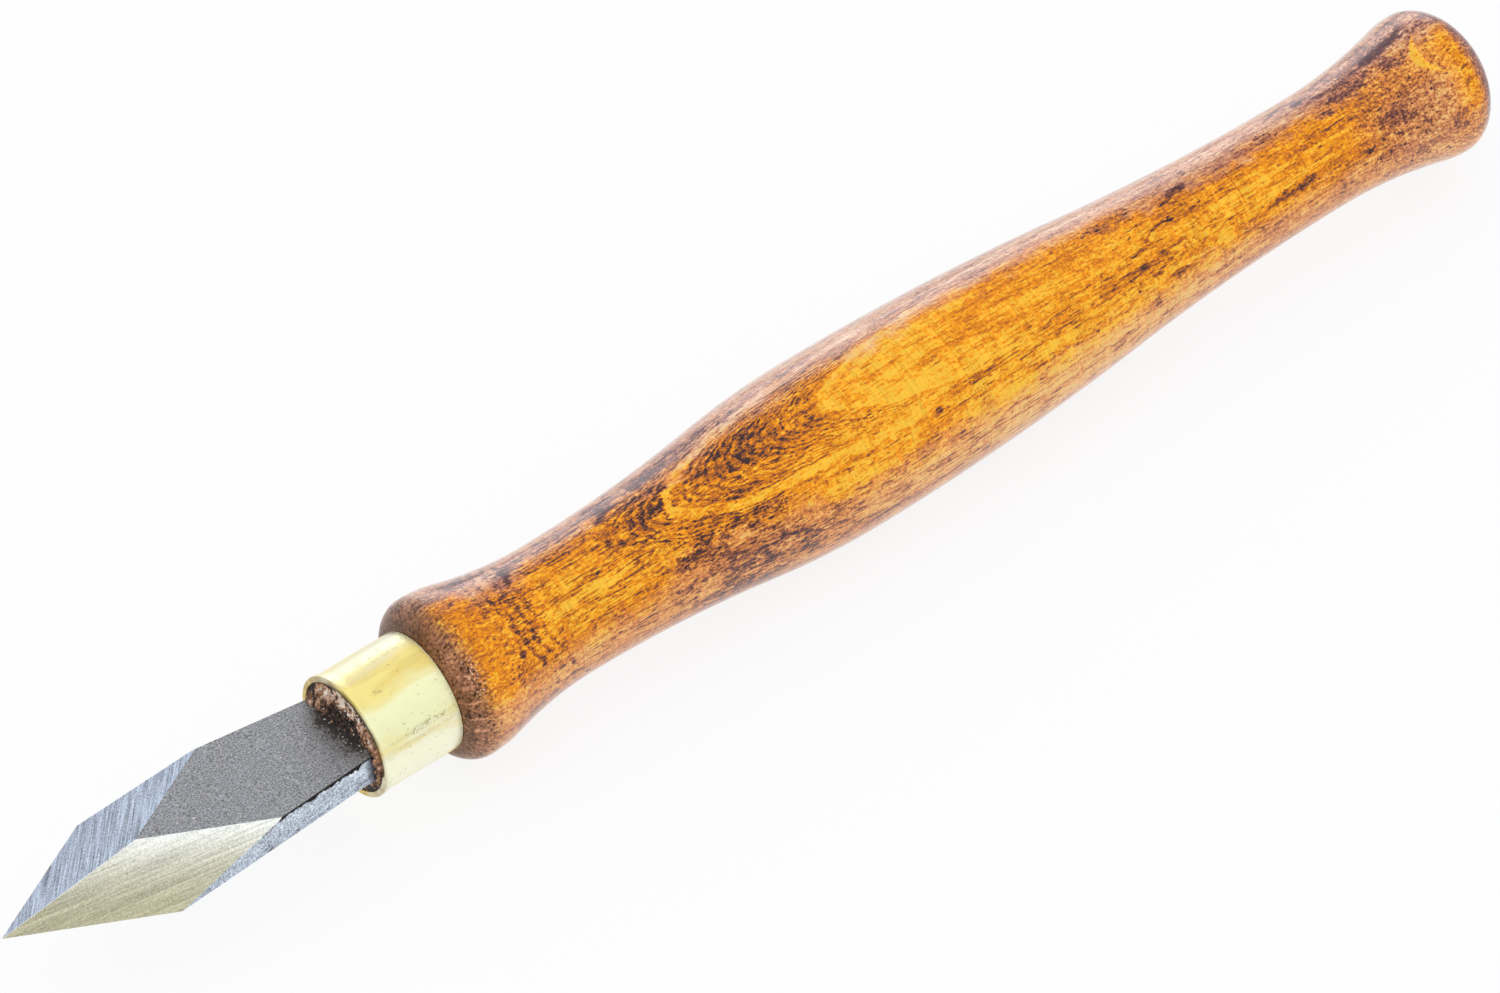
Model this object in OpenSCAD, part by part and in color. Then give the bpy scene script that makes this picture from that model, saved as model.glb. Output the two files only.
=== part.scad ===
// Marking knife: a bevelled spear-point blade set in a turned beech handle with a brass ferrule.
// The handle's axis lies along X, with the point at the -X end and the butt at the +X end.
// Z is up, out of the blade's bevelled face. The origin is on the handle's axis, half way along.

/* [Blade] */
// Length of the blade that stands out of the ferrule, along its flat back
blade_l = 41.7; // [34:0.1:50]
// Width across the two corners where the point begins, at the flat back
blade_w = 17.7; // [14:0.1:22]
// Thickness of the steel bar where its back is ground
blade_t = 3; // [2:0.1:4]
// Thickness of the forged skin that is left on the back beside the ferrule
skin_t = 0.1; // [0.05:0.05:0.2]
// Distance from the ferrule's mouth to where the ground back begins
skin_l = 1.5; // [0.5:0.1:4]
// Angle between the two cutting edges, seen from above
point_angle = 60; // [45:1:80]
// Angle between each ground bevel and the flat back
bevel_angle = 20; // [16:1:30]
// Angle by which the point is tipped up from the handle's axis
tip_up_angle = 2.8; // [0:0.1:4]
// Gap between the blade's corners and the inside of the ferrule at its mouth
blade_corner_gap = 0.1; // [0.05:0.05:0.5]

/* [Tang] */
// Length of the tang inside the handle
tang_l = 44; // [30:1:55]
// Width of the tang at its far end
tang_end_w = 3.4; // [2.4:0.1:4.4]
// How far the tang's faces lie inside the blade's faces
tang_step = 0.1; // [0.05:0.05:0.3]
// Diameter of the hole that takes the tang
tang_hole_d = 7; // [6:0.1:8.5]
// Gap between the tang's corners and its hole
tang_corner_gap = 0.1; // [0.05:0.05:0.4]
// Depth of the hole beyond the end of the tang
tang_hole_spare = 2; // [0.5:0.5:5]

/* [Ferrule] */
// Outside diameter of the ferrule
ferrule_d = 13.3; // [12:0.1:16]
// Length of the ferrule
ferrule_l = 9.8; // [8:0.1:14]
// Wall of the ferrule
ferrule_wall = 0.5; // [0.4:0.05:1]
// How far the lip at the mouth stands out of the ferrule
lip_h = 0.15; // [0.05:0.05:0.4]
// Length of the lip
lip_l = 0.6; // [0.3:0.1:1.5]
// Distance from the ferrule's mouth back to the end of the wooden tenon
mouth_depth = 1.2; // [0.6:0.1:2]
// Distance from the ferrule's mouth back to the bedding that fills it
bedding_set_back = 0.2; // [0.1:0.1:0.5]

/* [Handle] */
// Length of the handle behind the ferrule
handle_l = 138.6; // [120:0.1:160]
// Diameter of the rounded shoulder behind the ferrule
shoulder_d = 18; // [17:0.1:22]
// Diameter of the waist behind the shoulder
waist_d = 14.4; // [13:0.1:17]
// Diameter of the belly
belly_d = 19.3; // [17:0.1:24]
// Diameter of the slim waist before the bulb
rear_waist_d = 12.7; // [10:0.1:16]
// Diameter of the bulb at the butt
bulb_d = 16.4; // [13:0.1:20]
// Length of the rounding on the front of the shoulder
shoulder_round_l = 3; // [1.5:0.1:5]
// Length of the domed end of the butt
butt_round_l = 5.1; // [3:0.1:8]

/* [Hidden] */

// Places of the waists and the belly along the handle, as shares of its length
waist_share = 0.1225;
belly_share = 0.3795;
rear_waist_share = 0.849;
// Each stretch of the handle is two arcs that meet at this share of the stretch
shoulder_turn_share = 0.25;
belly_turn_share = 0.635;
taper_turn_share = 0.535;
bulb_turn_share = 0.84;

// Steps along each stretch of the handle and round each of its ends
stretch_steps = 12;
round_steps = 8;
$fn = 96;

// Distance by which a cutting shape runs past what it cuts
overrun = 1;

// Radii that the pieces share
bore_r = ferrule_d / 2 - ferrule_wall;
tang_hole_r = tang_hole_d / 2;

// The blade narrows from its corners to the width that just enters the ferrule
blade_root_w = 2 * sqrt(pow(bore_r - blade_corner_gap, 2) - pow(blade_t / 2 + skin_t, 2));
point_l = blade_w / 2 / tan(point_angle / 2);
blade_full_l = blade_l + mouth_depth;
side_slope = (blade_w - blade_root_w) / 2 / (blade_l - point_l);

// The tang is widest where its corners just enter its hole
tang_t = blade_t - 2 * tang_step;
tang_root_w = 2 * sqrt(pow(tang_hole_r - tang_corner_gap, 2) - pow(tang_t / 2, 2));
tang_lap = mouth_depth;
tang_hole_l = tang_l + tang_hole_spare;

// Places along X: the butt, the handle's shoulder, the ferrule's mouth and the tenon's end
total_l = handle_l + ferrule_l - mouth_depth
    + blade_full_l * cos(tip_up_angle) + blade_t / 2 * sin(tip_up_angle);
butt_x = total_l / 2;
shoulder_x = butt_x - handle_l;
mouth_x = shoulder_x - ferrule_l;
tenon_x = mouth_x + mouth_depth;
tenon_l = ferrule_l - mouth_depth;

// Radius along one stretch: it leaves r0 and reaches r1 level, along two arcs that meet at turn
function stretch_r(u, r0, r1, turn) =
    r0 + (r1 - r0) * (u < turn ? u * u / turn : 1 - (1 - u) * (1 - u) / (1 - turn));

// Points of one stretch, from after its start to its end, as radius and distance from the shoulder
function stretch(x0, r0, x1, r1, turn) = [
    for (i = [1 : stretch_steps])
        let (u = i / stretch_steps)
        [stretch_r(u, r0, r1, turn), x0 + (x1 - x0) * u]
];

// Points of the rounding that rises from the tenon to the crest of the shoulder
function front_round(r0, r1, l) = [
    for (i = [0 : round_steps])
        let (a = 90 * i / round_steps)
        [r0 + (r1 - r0) * sin(a), l * (1 - cos(a))]
];

// Points of the dome that closes the butt, after the crest of the bulb
function butt_round(x0, r0, l) = [
    for (i = [1 : round_steps])
        let (a = 90 * i / round_steps)
        [r0 * cos(a), x0 + l * sin(a)]
];

// Half outline of the handle, from the tenon's end to the butt
function handle_outline() =
    let (
        waist_x = handle_l * waist_share,
        belly_x = handle_l * belly_share,
        rear_waist_x = handle_l * rear_waist_share,
        bulb_x = handle_l - butt_round_l
    )
    concat(
        [[0, -tenon_l], [bore_r, -tenon_l]],
        front_round(bore_r, shoulder_d / 2, shoulder_round_l),
        stretch(shoulder_round_l, shoulder_d / 2, waist_x, waist_d / 2, shoulder_turn_share),
        stretch(waist_x, waist_d / 2, belly_x, belly_d / 2, belly_turn_share),
        stretch(belly_x, belly_d / 2, rear_waist_x, rear_waist_d / 2, taper_turn_share),
        stretch(rear_waist_x, rear_waist_d / 2, bulb_x, bulb_d / 2, bulb_turn_share),
        butt_round(bulb_x, bulb_d / 2, butt_round_l)
    );

// Turns a shape whose axis is Z so that its axis is X
module along_x() {
    rotate([0, 90, 0]) children();
}

// Half width of the blade at a distance from its point, behind its corners
function half_w(x) = blade_w / 2 - (x - point_l) * side_slope;

// Plan of the bar between two distances from its point
module bar_plan(x0, x1) {
    polygon([[x0, -half_w(x0)], [x1, -half_w(x1)], [x1, half_w(x1)], [x0, half_w(x0)]]);
}

// Plan of the point, from its tip at the origin to its corners
module point_plan() {
    polygon([[0, 0], [point_l, -blade_w / 2], [point_l, blade_w / 2]]);
}

// What the grinding of the bevel on the +Y side takes off a bar that lies on its flat back
module bevel_waste() {
    reach = blade_full_l + blade_w;
    rotate([0, 0, point_angle / 2])
        rotate([-bevel_angle, 0, 0])
            translate([-overrun, -reach, 0])
                cube([reach, reach + overrun, blade_t + overrun]);
}

// What the grinding of the flat back takes off the forged skin under the bar
module back_waste() {
    translate([-overrun, -blade_w, -skin_t - overrun])
        cube([blade_l - skin_l + overrun, 2 * blade_w, skin_t + overrun]);
}

// The ground bar, with its point at the origin and its ground back at the level of the origin
module ground_bar() {
    difference() {
        translate([0, 0, -skin_t])
            linear_extrude(blade_t + skin_t) union() {
                point_plan();
                bar_plan(point_l, blade_full_l + overrun);
            }
        back_waste();
        bevel_waste();
        mirror([0, 1, 0]) bevel_waste();
    }
}

// The bar in its place, tipped up about the middle of the tenon's end and cut square there
module set_bar() {
    difference() {
        translate([tenon_x, 0, 0])
            rotate([0, tip_up_angle, 0])
                translate([-blade_full_l, 0, -blade_t / 2])
                    ground_bar();
        translate([tenon_x, -blade_w, -blade_w])
            cube([blade_w, 2 * blade_w, 2 * blade_w]);
    }
}

// The tapered tang, on the handle's axis
module tang() {
    translate([tenon_x, 0, -tang_t / 2])
        linear_extrude(tang_t)
            polygon([
                [-tang_lap, -tang_root_w / 2],
                [0, -tang_root_w / 2],
                [tang_l, -tang_end_w / 2],
                [tang_l, tang_end_w / 2],
                [0, tang_root_w / 2],
                [-tang_lap, tang_root_w / 2]
            ]);
}

// Blade and tang, one piece of steel
module steel() {
    union() {
        set_bar();
        tang();
    }
}

// Steel blade with its hidden tang
module blade() {
    color("slategray") steel();
}

// Hard bedding that fills the tang's hole and the mouth of the ferrule
module tang_bedding() {
    color("saddlebrown") difference() {
        union() {
            translate([mouth_x + bedding_set_back, 0, 0])
                along_x() cylinder(r = bore_r, h = mouth_depth - bedding_set_back);
            translate([tenon_x, 0, 0])
                along_x() cylinder(r = tang_hole_r, h = tang_hole_l);
        }
        steel();
    }
}

// Brass ferrule: a tube with a small lip at its mouth
module ferrule() {
    color("khaki") translate([mouth_x, 0, 0]) along_x() difference() {
        union() {
            cylinder(d = ferrule_d, h = ferrule_l);
            cylinder(r = ferrule_d / 2 + lip_h, h = lip_l);
        }
        translate([0, 0, -overrun]) cylinder(r = bore_r, h = ferrule_l + 2 * overrun);
    }
}

// Turned beech handle, with a tenon inside the ferrule and a hole for the tang
module handle() {
    color("goldenrod") difference() {
        translate([shoulder_x, 0, 0])
            along_x() rotate_extrude() polygon(handle_outline());
        translate([tenon_x - overrun, 0, 0])
            along_x() cylinder(r = tang_hole_r, h = tang_hole_l + overrun);
    }
}

blade();
tang_bedding();
ferrule();
handle();
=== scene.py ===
"""Marking knife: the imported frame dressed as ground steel, drawn brass and lacquered beech."""

import logging
import math
from collections.abc import Iterable, Mapping, Sequence
from dataclasses import dataclass
from enum import Enum

import bmesh
import bpy
from mathutils import Matrix, Vector, noise


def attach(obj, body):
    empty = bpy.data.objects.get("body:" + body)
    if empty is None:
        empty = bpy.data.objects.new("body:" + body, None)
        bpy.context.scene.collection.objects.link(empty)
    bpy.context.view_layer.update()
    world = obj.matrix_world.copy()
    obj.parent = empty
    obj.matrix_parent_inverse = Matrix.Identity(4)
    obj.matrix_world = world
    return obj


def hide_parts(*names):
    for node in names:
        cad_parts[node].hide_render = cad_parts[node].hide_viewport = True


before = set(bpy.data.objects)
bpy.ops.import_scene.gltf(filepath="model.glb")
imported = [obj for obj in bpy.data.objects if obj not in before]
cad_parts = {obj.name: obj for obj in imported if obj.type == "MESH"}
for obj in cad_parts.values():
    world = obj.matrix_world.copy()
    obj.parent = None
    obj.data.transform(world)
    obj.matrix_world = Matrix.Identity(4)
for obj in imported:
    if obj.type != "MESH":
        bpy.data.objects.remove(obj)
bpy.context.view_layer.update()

MM = 0.001
LOG = logging.getLogger("marking_knife")
TONE_NAME = "crumb_tone"

# Places along the handle's axis, in mm, that the pieces share
MOUTH_X = -53.339
TENON_X = -52.139
SHOULDER_X = -43.539

# The curve between a colour as a screen shows it and its linear value
SCREEN_KNEE = 0.04045
SCREEN_SLOPE = 12.92
SCREEN_OFFSET = 0.055
SCREEN_POWER = 2.4

# Blender's names for the kinds of socket
NUMBER = "NodeSocketFloat"
WHOLE = "NodeSocketInt"
VECTOR = "NodeSocketVector"
GEOMETRY = "NodeSocketGeometry"
MATERIAL = "NodeSocketMaterial"

Colour = tuple[float, float, float, float]
Triple = tuple[float, float, float]
# A range, which may run downwards
Range = tuple[float, float]
# A soft range: where it starts, where it is full, where it is last full and where it ends
Span = tuple[float, float, float, float]
# A smooth change: where it starts and ends, and the values there
Slope = tuple[float, float, float, float]
Profile = list[tuple[float, float]]
Material = bpy.types.Material
Node = bpy.types.Node
Piece = bpy.types.Object
Socket = bpy.types.NodeSocket
Tree = bpy.types.NodeTree
Value = Socket | float | Sequence[float] | Material


def paint(red: int, green: int, blue: int) -> Colour:
    """Turns a colour as a screen shows it into the linear colour that a shader reads.

    Args:
        red: Red from 0 to 255.
        green: Green from 0 to 255.
        blue: Blue from 0 to 255.

    Returns:
        The linear colour with full alpha.
    """
    linear = []
    for part in (red, green, blue):
        share = part / 255
        if share <= SCREEN_KNEE:
            linear.append(share / SCREEN_SLOPE)
        else:
            linear.append(((share + SCREEN_OFFSET) / (1 + SCREEN_OFFSET)) ** SCREEN_POWER)
    return (*linear, 1.0)


class Wiring:
    """Adds nodes to one tree and links them."""

    def __init__(self, tree: Tree) -> None:
        """Keeps the tree that the nodes go into."""
        self.tree = tree

    def feed(self, socket: Socket, value: Value) -> None:
        """Links a socket to another one, or sets its value.

        Args:
            socket: The input that is fed.
            value: The output that feeds it, or its plain value.
        """
        if isinstance(value, Socket):
            self.tree.links.new(value, socket)
        else:
            socket.default_value = value

    def node(
        self, kind: str, inputs: dict[str | int, Value] | None = None, **settings: object
    ) -> Node:
        """Adds a node.

        Args:
            kind: Blender's name for the node's type.
            inputs: Values or sockets for its inputs, by name or place.
            settings: The node's own properties.

        Returns:
            The new node.
        """
        made = self.tree.nodes.new(kind)
        for name, setting in settings.items():
            setattr(made, name, setting)
        for key, value in (inputs or {}).items():
            self.feed(made.inputs[key], value)
        return made

    def group(self, shared: Tree, inputs: dict[str, Value]) -> Node:
        """Places a shared shader group with its own values.

        Args:
            shared: The group.
            inputs: Values or sockets for its inputs, by name.

        Returns:
            The node that holds the group.
        """
        made = self.tree.nodes.new("ShaderNodeGroup")
        made.node_tree = shared
        for key, value in inputs.items():
            self.feed(made.inputs[key], value)
        return made

    def math(self, operation: str, *values: Value, clamp: bool = False) -> Socket:
        """Does one sum on one to three numbers."""
        made = self.node("ShaderNodeMath", dict(enumerate(values)), operation=operation, use_clamp=clamp)
        return made.outputs[0]

    def add(self, first: Value, second: Value) -> Socket:
        """Adds two numbers."""
        return self.math("ADD", first, second)

    def subtract(self, first: Value, second: Value, clamp: bool = False) -> Socket:
        """Takes the second number from the first."""
        return self.math("SUBTRACT", first, second, clamp=clamp)

    def times(self, first: Value, second: Value) -> Socket:
        """Multiplies two numbers."""
        return self.math("MULTIPLY", first, second)

    def times_add(self, first: Value, second: Value, third: Value) -> Socket:
        """Multiplies two numbers and adds a third."""
        return self.math("MULTIPLY_ADD", first, second, third)

    def centred(self, value: Value) -> Socket:
        """Takes a half from a random value, so that it lies about nought."""
        return self.subtract(value, 0.5)

    def apart(self, first: Value, second: Value) -> Socket:
        """How far apart two numbers are."""
        return self.math("ABSOLUTE", self.subtract(first, second))

    def wave(self, value: Value, pitch: float) -> Socket:
        """A wave between minus one and one, whose crests are one pitch apart."""
        return self.math("COSINE", self.times(value, math.tau / pitch))

    def vector(self, operation: str, *values: Value) -> Socket:
        """Does one sum on vectors, whose answer is a vector."""
        made = self.node("ShaderNodeVectorMath", dict(enumerate(values)), operation=operation)
        return made.outputs["Vector"]

    def join(self, x: Value, y: Value, z: Value) -> Socket:
        """Makes a vector from three numbers."""
        return self.node("ShaderNodeCombineXYZ", {0: x, 1: y, 2: z}).outputs[0]

    def split(self, value: Socket) -> list[Socket]:
        """Takes a vector apart into three numbers."""
        return list(self.node("ShaderNodeSeparateXYZ", {0: value}).outputs)

    def stretch(self, value: Socket, by: Triple) -> Socket:
        """Scales a place by a number for each axis."""
        return self.vector("MULTIPLY", value, by)

    def dot(self, first: Value, second: Value) -> Socket:
        """How far one vector reaches along another."""
        made = self.node("ShaderNodeVectorMath", {0: first, 1: second}, operation="DOT_PRODUCT")
        return made.outputs["Value"]

    def scaled(self, value: Value, amount: Value) -> Socket:
        """Scales a vector or colour by one number."""
        made = self.node("ShaderNodeVectorMath", {0: value, "Scale": amount}, operation="SCALE")
        return made.outputs["Vector"]

    def shade(self, colour: Value, amount: Value) -> Socket:
        """Makes a colour darker or lighter by a factor."""
        return self.scaled(colour if isinstance(colour, Socket) else tuple(colour)[:3], amount)

    def ease(self, value: Value, low: Value, high: Value, start: Value = 0.0, end: Value = 1.0) -> Socket:
        """Maps a number smoothly from one range to another, and holds it at the ends.

        Args:
            value: The number.
            low: Where the first range begins.
            high: Where the first range ends. It may lie below its beginning.
            start: What low becomes.
            end: What high becomes.

        Returns:
            The mapped number.
        """
        given = {"Value": value, "From Min": low, "From Max": high, "To Min": start, "To Max": end}
        return self.node("ShaderNodeMapRange", given, interpolation_type="SMOOTHSTEP").outputs["Result"]

    def band(self, value: Value, span: Span, height: Value = 1.0) -> Socket:
        """Gives a height inside a soft range, and nought outside it."""
        start, full, last, end = span
        return self.times(self.ease(value, start, full), self.ease(value, end, last, 0.0, height))

    def blend(self, share: Value, first: Value, second: Value) -> Socket:
        """Mixes two colours by a share of the second."""
        given = {0: share, 6: first, 7: second}
        return self.node("ShaderNodeMix", given, data_type="RGBA", clamp_factor=True).outputs[2]

    def between(self, share: Value, first: Value, second: Value) -> Socket:
        """Mixes two numbers by a share of the second."""
        return self.node("ShaderNodeMix", {0: share, 2: first, 3: second}, data_type="FLOAT").outputs[0]

    def noise(self, place: Socket, scale: float = 1.0, detail: float = 2.0, roughness: float = 0.5) -> Socket:
        """Smooth random value at a place, about one half on average."""
        given = {"Vector": place, "Scale": scale, "Detail": detail, "Roughness": roughness}
        return self.node("ShaderNodeTexNoise", given).outputs[0]

    def ramp(self, value: Socket, stops: Sequence[tuple[float, Colour]]) -> Socket:
        """Turns a number into a colour along a row of stops.

        Args:
            value: The number, from 0 to 1.
            stops: The place and the colour of each stop.

        Returns:
            The colour.
        """
        made = self.node("ShaderNodeValToRGB", {0: value})
        elements = made.color_ramp.elements
        while len(elements) < len(stops):
            elements.new(0.5)
        for element, (place, colour) in zip(elements, stops, strict=True):
            element.position = place
            element.color = colour
        return made.outputs[0]

    def place_mm(self) -> Socket:
        """The place on the piece, in millimetres."""
        coordinates = self.node("ShaderNodeTexCoord")
        return self.scaled(coordinates.outputs["Object"], 1 / MM)


def shader_group(
    name: str, inputs: dict[str, str], outputs: dict[str, str]
) -> tuple[Tree, Wiring, Mapping[str, Socket]]:
    """Starts a shared shader group.

    Args:
        name: The group's name.
        inputs: Kind of each input socket by its name.
        outputs: Kind of each output socket by its name.

    Returns:
        The group's tree, the wiring that fills it, and the sockets that bring its inputs.
    """
    tree = bpy.data.node_groups.new(name, "ShaderNodeTree")
    for in_out, sockets in (("INPUT", inputs), ("OUTPUT", outputs)):
        for socket, kind in sockets.items():
            tree.interface.new_socket(socket, in_out=in_out, socket_type=kind)
    wire = Wiring(tree)
    return tree, wire, wire.node("NodeGroupInput").outputs


class SharedEffects:
    """The shader groups that several finishes use."""

    def __init__(self) -> None:
        """Builds each group once."""
        self.specks = self.build_specks()
        self.grain = self.build_grain()
        self.patch = self.build_patch()
        self.lines = self.build_lines()

    @staticmethod
    def build_specks() -> Tree:
        """Scattered small spots: a share of the cells of a pattern, each with a soft round spot.

        Returns:
            The group, which puts out a mask and a random tone for each spot.
        """
        smallest, core = 0.35, 0.55
        tree, wire, given = shader_group(
            "specks", {"Place": VECTOR, "Share": NUMBER, "Radius": NUMBER}, {"Mask": NUMBER, "Tone": NUMBER}
        )
        cells = wire.node("ShaderNodeTexVoronoi", {"Vector": given["Place"], "Scale": 1.0})
        tones = wire.node("ShaderNodeSeparateColor", {0: cells.outputs["Color"]}).outputs
        chosen = wire.math("LESS_THAN", tones[0], given["Share"])
        reach = wire.times(given["Radius"], wire.add(tones[1], smallest))
        spot = wire.ease(cells.outputs["Distance"], reach, wire.times(reach, core))
        wire.node("NodeGroupOutput", {"Mask": wire.times(chosen, spot), "Tone": tones[2]})
        return tree

    @staticmethod
    def build_grain() -> Tree:
        """Fine grain: a value that varies from place to place, and the bumps that go with it.

        Returns:
            The group, which puts out a value and a normal.
        """
        tree, wire, given = shader_group(
            "fine_grain", {"Place": VECTOR, "Height": NUMBER, "Contrast": NUMBER},
            {"Value": NUMBER, "Normal": VECTOR},
        )
        fine = wire.noise(given["Place"], detail=3.0, roughness=0.65)
        spread = wire.times_add(wire.centred(fine), given["Contrast"], 1.0)
        bump = wire.node("ShaderNodeBump", {"Strength": 1.0, "Distance": given["Height"], "Height": fine})
        wire.node("NodeGroupOutput", {"Value": spread, "Normal": bump.outputs[0]})
        return tree

    @staticmethod
    def build_patch() -> Tree:
        """One soft patch with a ragged edge, on a flat map of the surface.

        Returns:
            The group, which puts out a mask.
        """
        tree, wire, given = shader_group(
            "ragged_patch",
            {"Place": VECTOR, "Centre": VECTOR, "Reach": VECTOR, "Ragged": NUMBER, "Soft": NUMBER},
            {"Mask": NUMBER},
        )
        away = wire.vector("DIVIDE", wire.vector("SUBTRACT", given["Place"], given["Centre"]), given["Reach"])
        far = wire.node("ShaderNodeVectorMath", {0: away}, operation="LENGTH").outputs["Value"]
        far = wire.add(far, given["Ragged"])
        wire.node("NodeGroupOutput", {"Mask": wire.ease(far, 1.0, wire.subtract(1.0, given["Soft"]))})
        return tree

    @staticmethod
    def build_lines() -> Tree:
        """Fine lines along one direction, such as grinding marks or the lines of a lathe tool.

        Returns:
            The group, which puts out a value about one half and a normal.
        """
        broad_scale, fine_share = 0.28, 0.7
        tree, wire, given = shader_group(
            "fine_lines",
            {"Place": VECTOR, "Stretch": VECTOR, "Height": NUMBER},
            {"Value": NUMBER, "Normal": VECTOR},
        )
        drawn = wire.vector("MULTIPLY", given["Place"], given["Stretch"])
        broad = wire.noise(drawn, scale=broad_scale, detail=1.0)
        fine = wire.noise(drawn, scale=1.0, detail=2.0, roughness=0.6)
        lines = wire.between(fine_share, broad, fine)
        bump = wire.node("ShaderNodeBump", {"Strength": 1.0, "Distance": given["Height"], "Height": lines})
        wire.node("NodeGroupOutput", {"Value": lines, "Normal": bump.outputs[0]})
        return tree

    def patch_mask(
        self, wire: Wiring, flat: Socket, centre: tuple[float, float], reach: tuple[float, float],
        ragged: Value, soft: float = 1.0,
    ) -> Socket:
        """Finds how much one patch covers each place.

        Args:
            wire: The material's wiring.
            flat: Place on the flat map of the piece, as distance along and angle round it.
            centre: The patch's middle on that map.
            reach: How far the patch reaches along and round the piece.
            ragged: Random value about nought that makes the patch's edge wander.
            soft: The share of the patch over which it fades out.

        Returns:
            The mask.
        """
        return wire.group(self.patch, {
            "Place": flat, "Centre": (*centre, 0.0), "Reach": (*reach, 1.0), "Ragged": ragged, "Soft": soft,
        }).outputs["Mask"]

    def spots(self, wire: Wiring, place: Socket, share: Value, radius: float) -> tuple[Socket, Socket]:
        """Scatters small spots.

        Args:
            wire: The material's wiring.
            place: Place in the pattern, one cell of which holds one spot at most.
            share: The share of the cells that hold a spot.
            radius: The largest spot's radius, as a share of a cell.

        Returns:
            The mask of the spots, and a random tone for each of them.
        """
        made = wire.group(self.specks, {"Place": place, "Share": share, "Radius": radius}).outputs
        return made["Mask"], made["Tone"]


def new_material(name: str) -> tuple[Material, Wiring, Node]:
    """Starts a material that has one Principled shader.

    Args:
        name: The material's name.

    Returns:
        The material, its wiring and its shader.
    """
    material = bpy.data.materials.new(name)
    material.use_nodes = True
    wire = Wiring(material.node_tree)
    return material, wire, material.node_tree.nodes["Principled BSDF"]


def set_shader(shader: Node, **values: Value) -> None:
    """Sets plain values on a shader's own sockets, whose names are given with low lines for spaces."""
    for name, value in values.items():
        shader.inputs[name.replace("_", " ").title().replace("Ior", "IOR")].default_value = value


@dataclass(frozen=True)
class Patch:
    """One patch of the handle's figure or of painted light: where it lies and what it does to the wood.

    The place is a distance along the axis in mm and an angle round it in degrees.
    """

    along: float
    angle: float
    length: float
    width: float
    change: float
    flecks: float = 0.0
    ragged: float = 0.5
    soft: float = 0.6


@dataclass(frozen=True)
class Vein:
    """One thin dark line of the handle's figure, which wanders along the grain.

    The places along the axis are in mm, the angles round it in degrees.
    """

    start: float
    end: float
    angle: float
    turn: float
    sway: float
    depth: float
    half_width: float = 0.16


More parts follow.
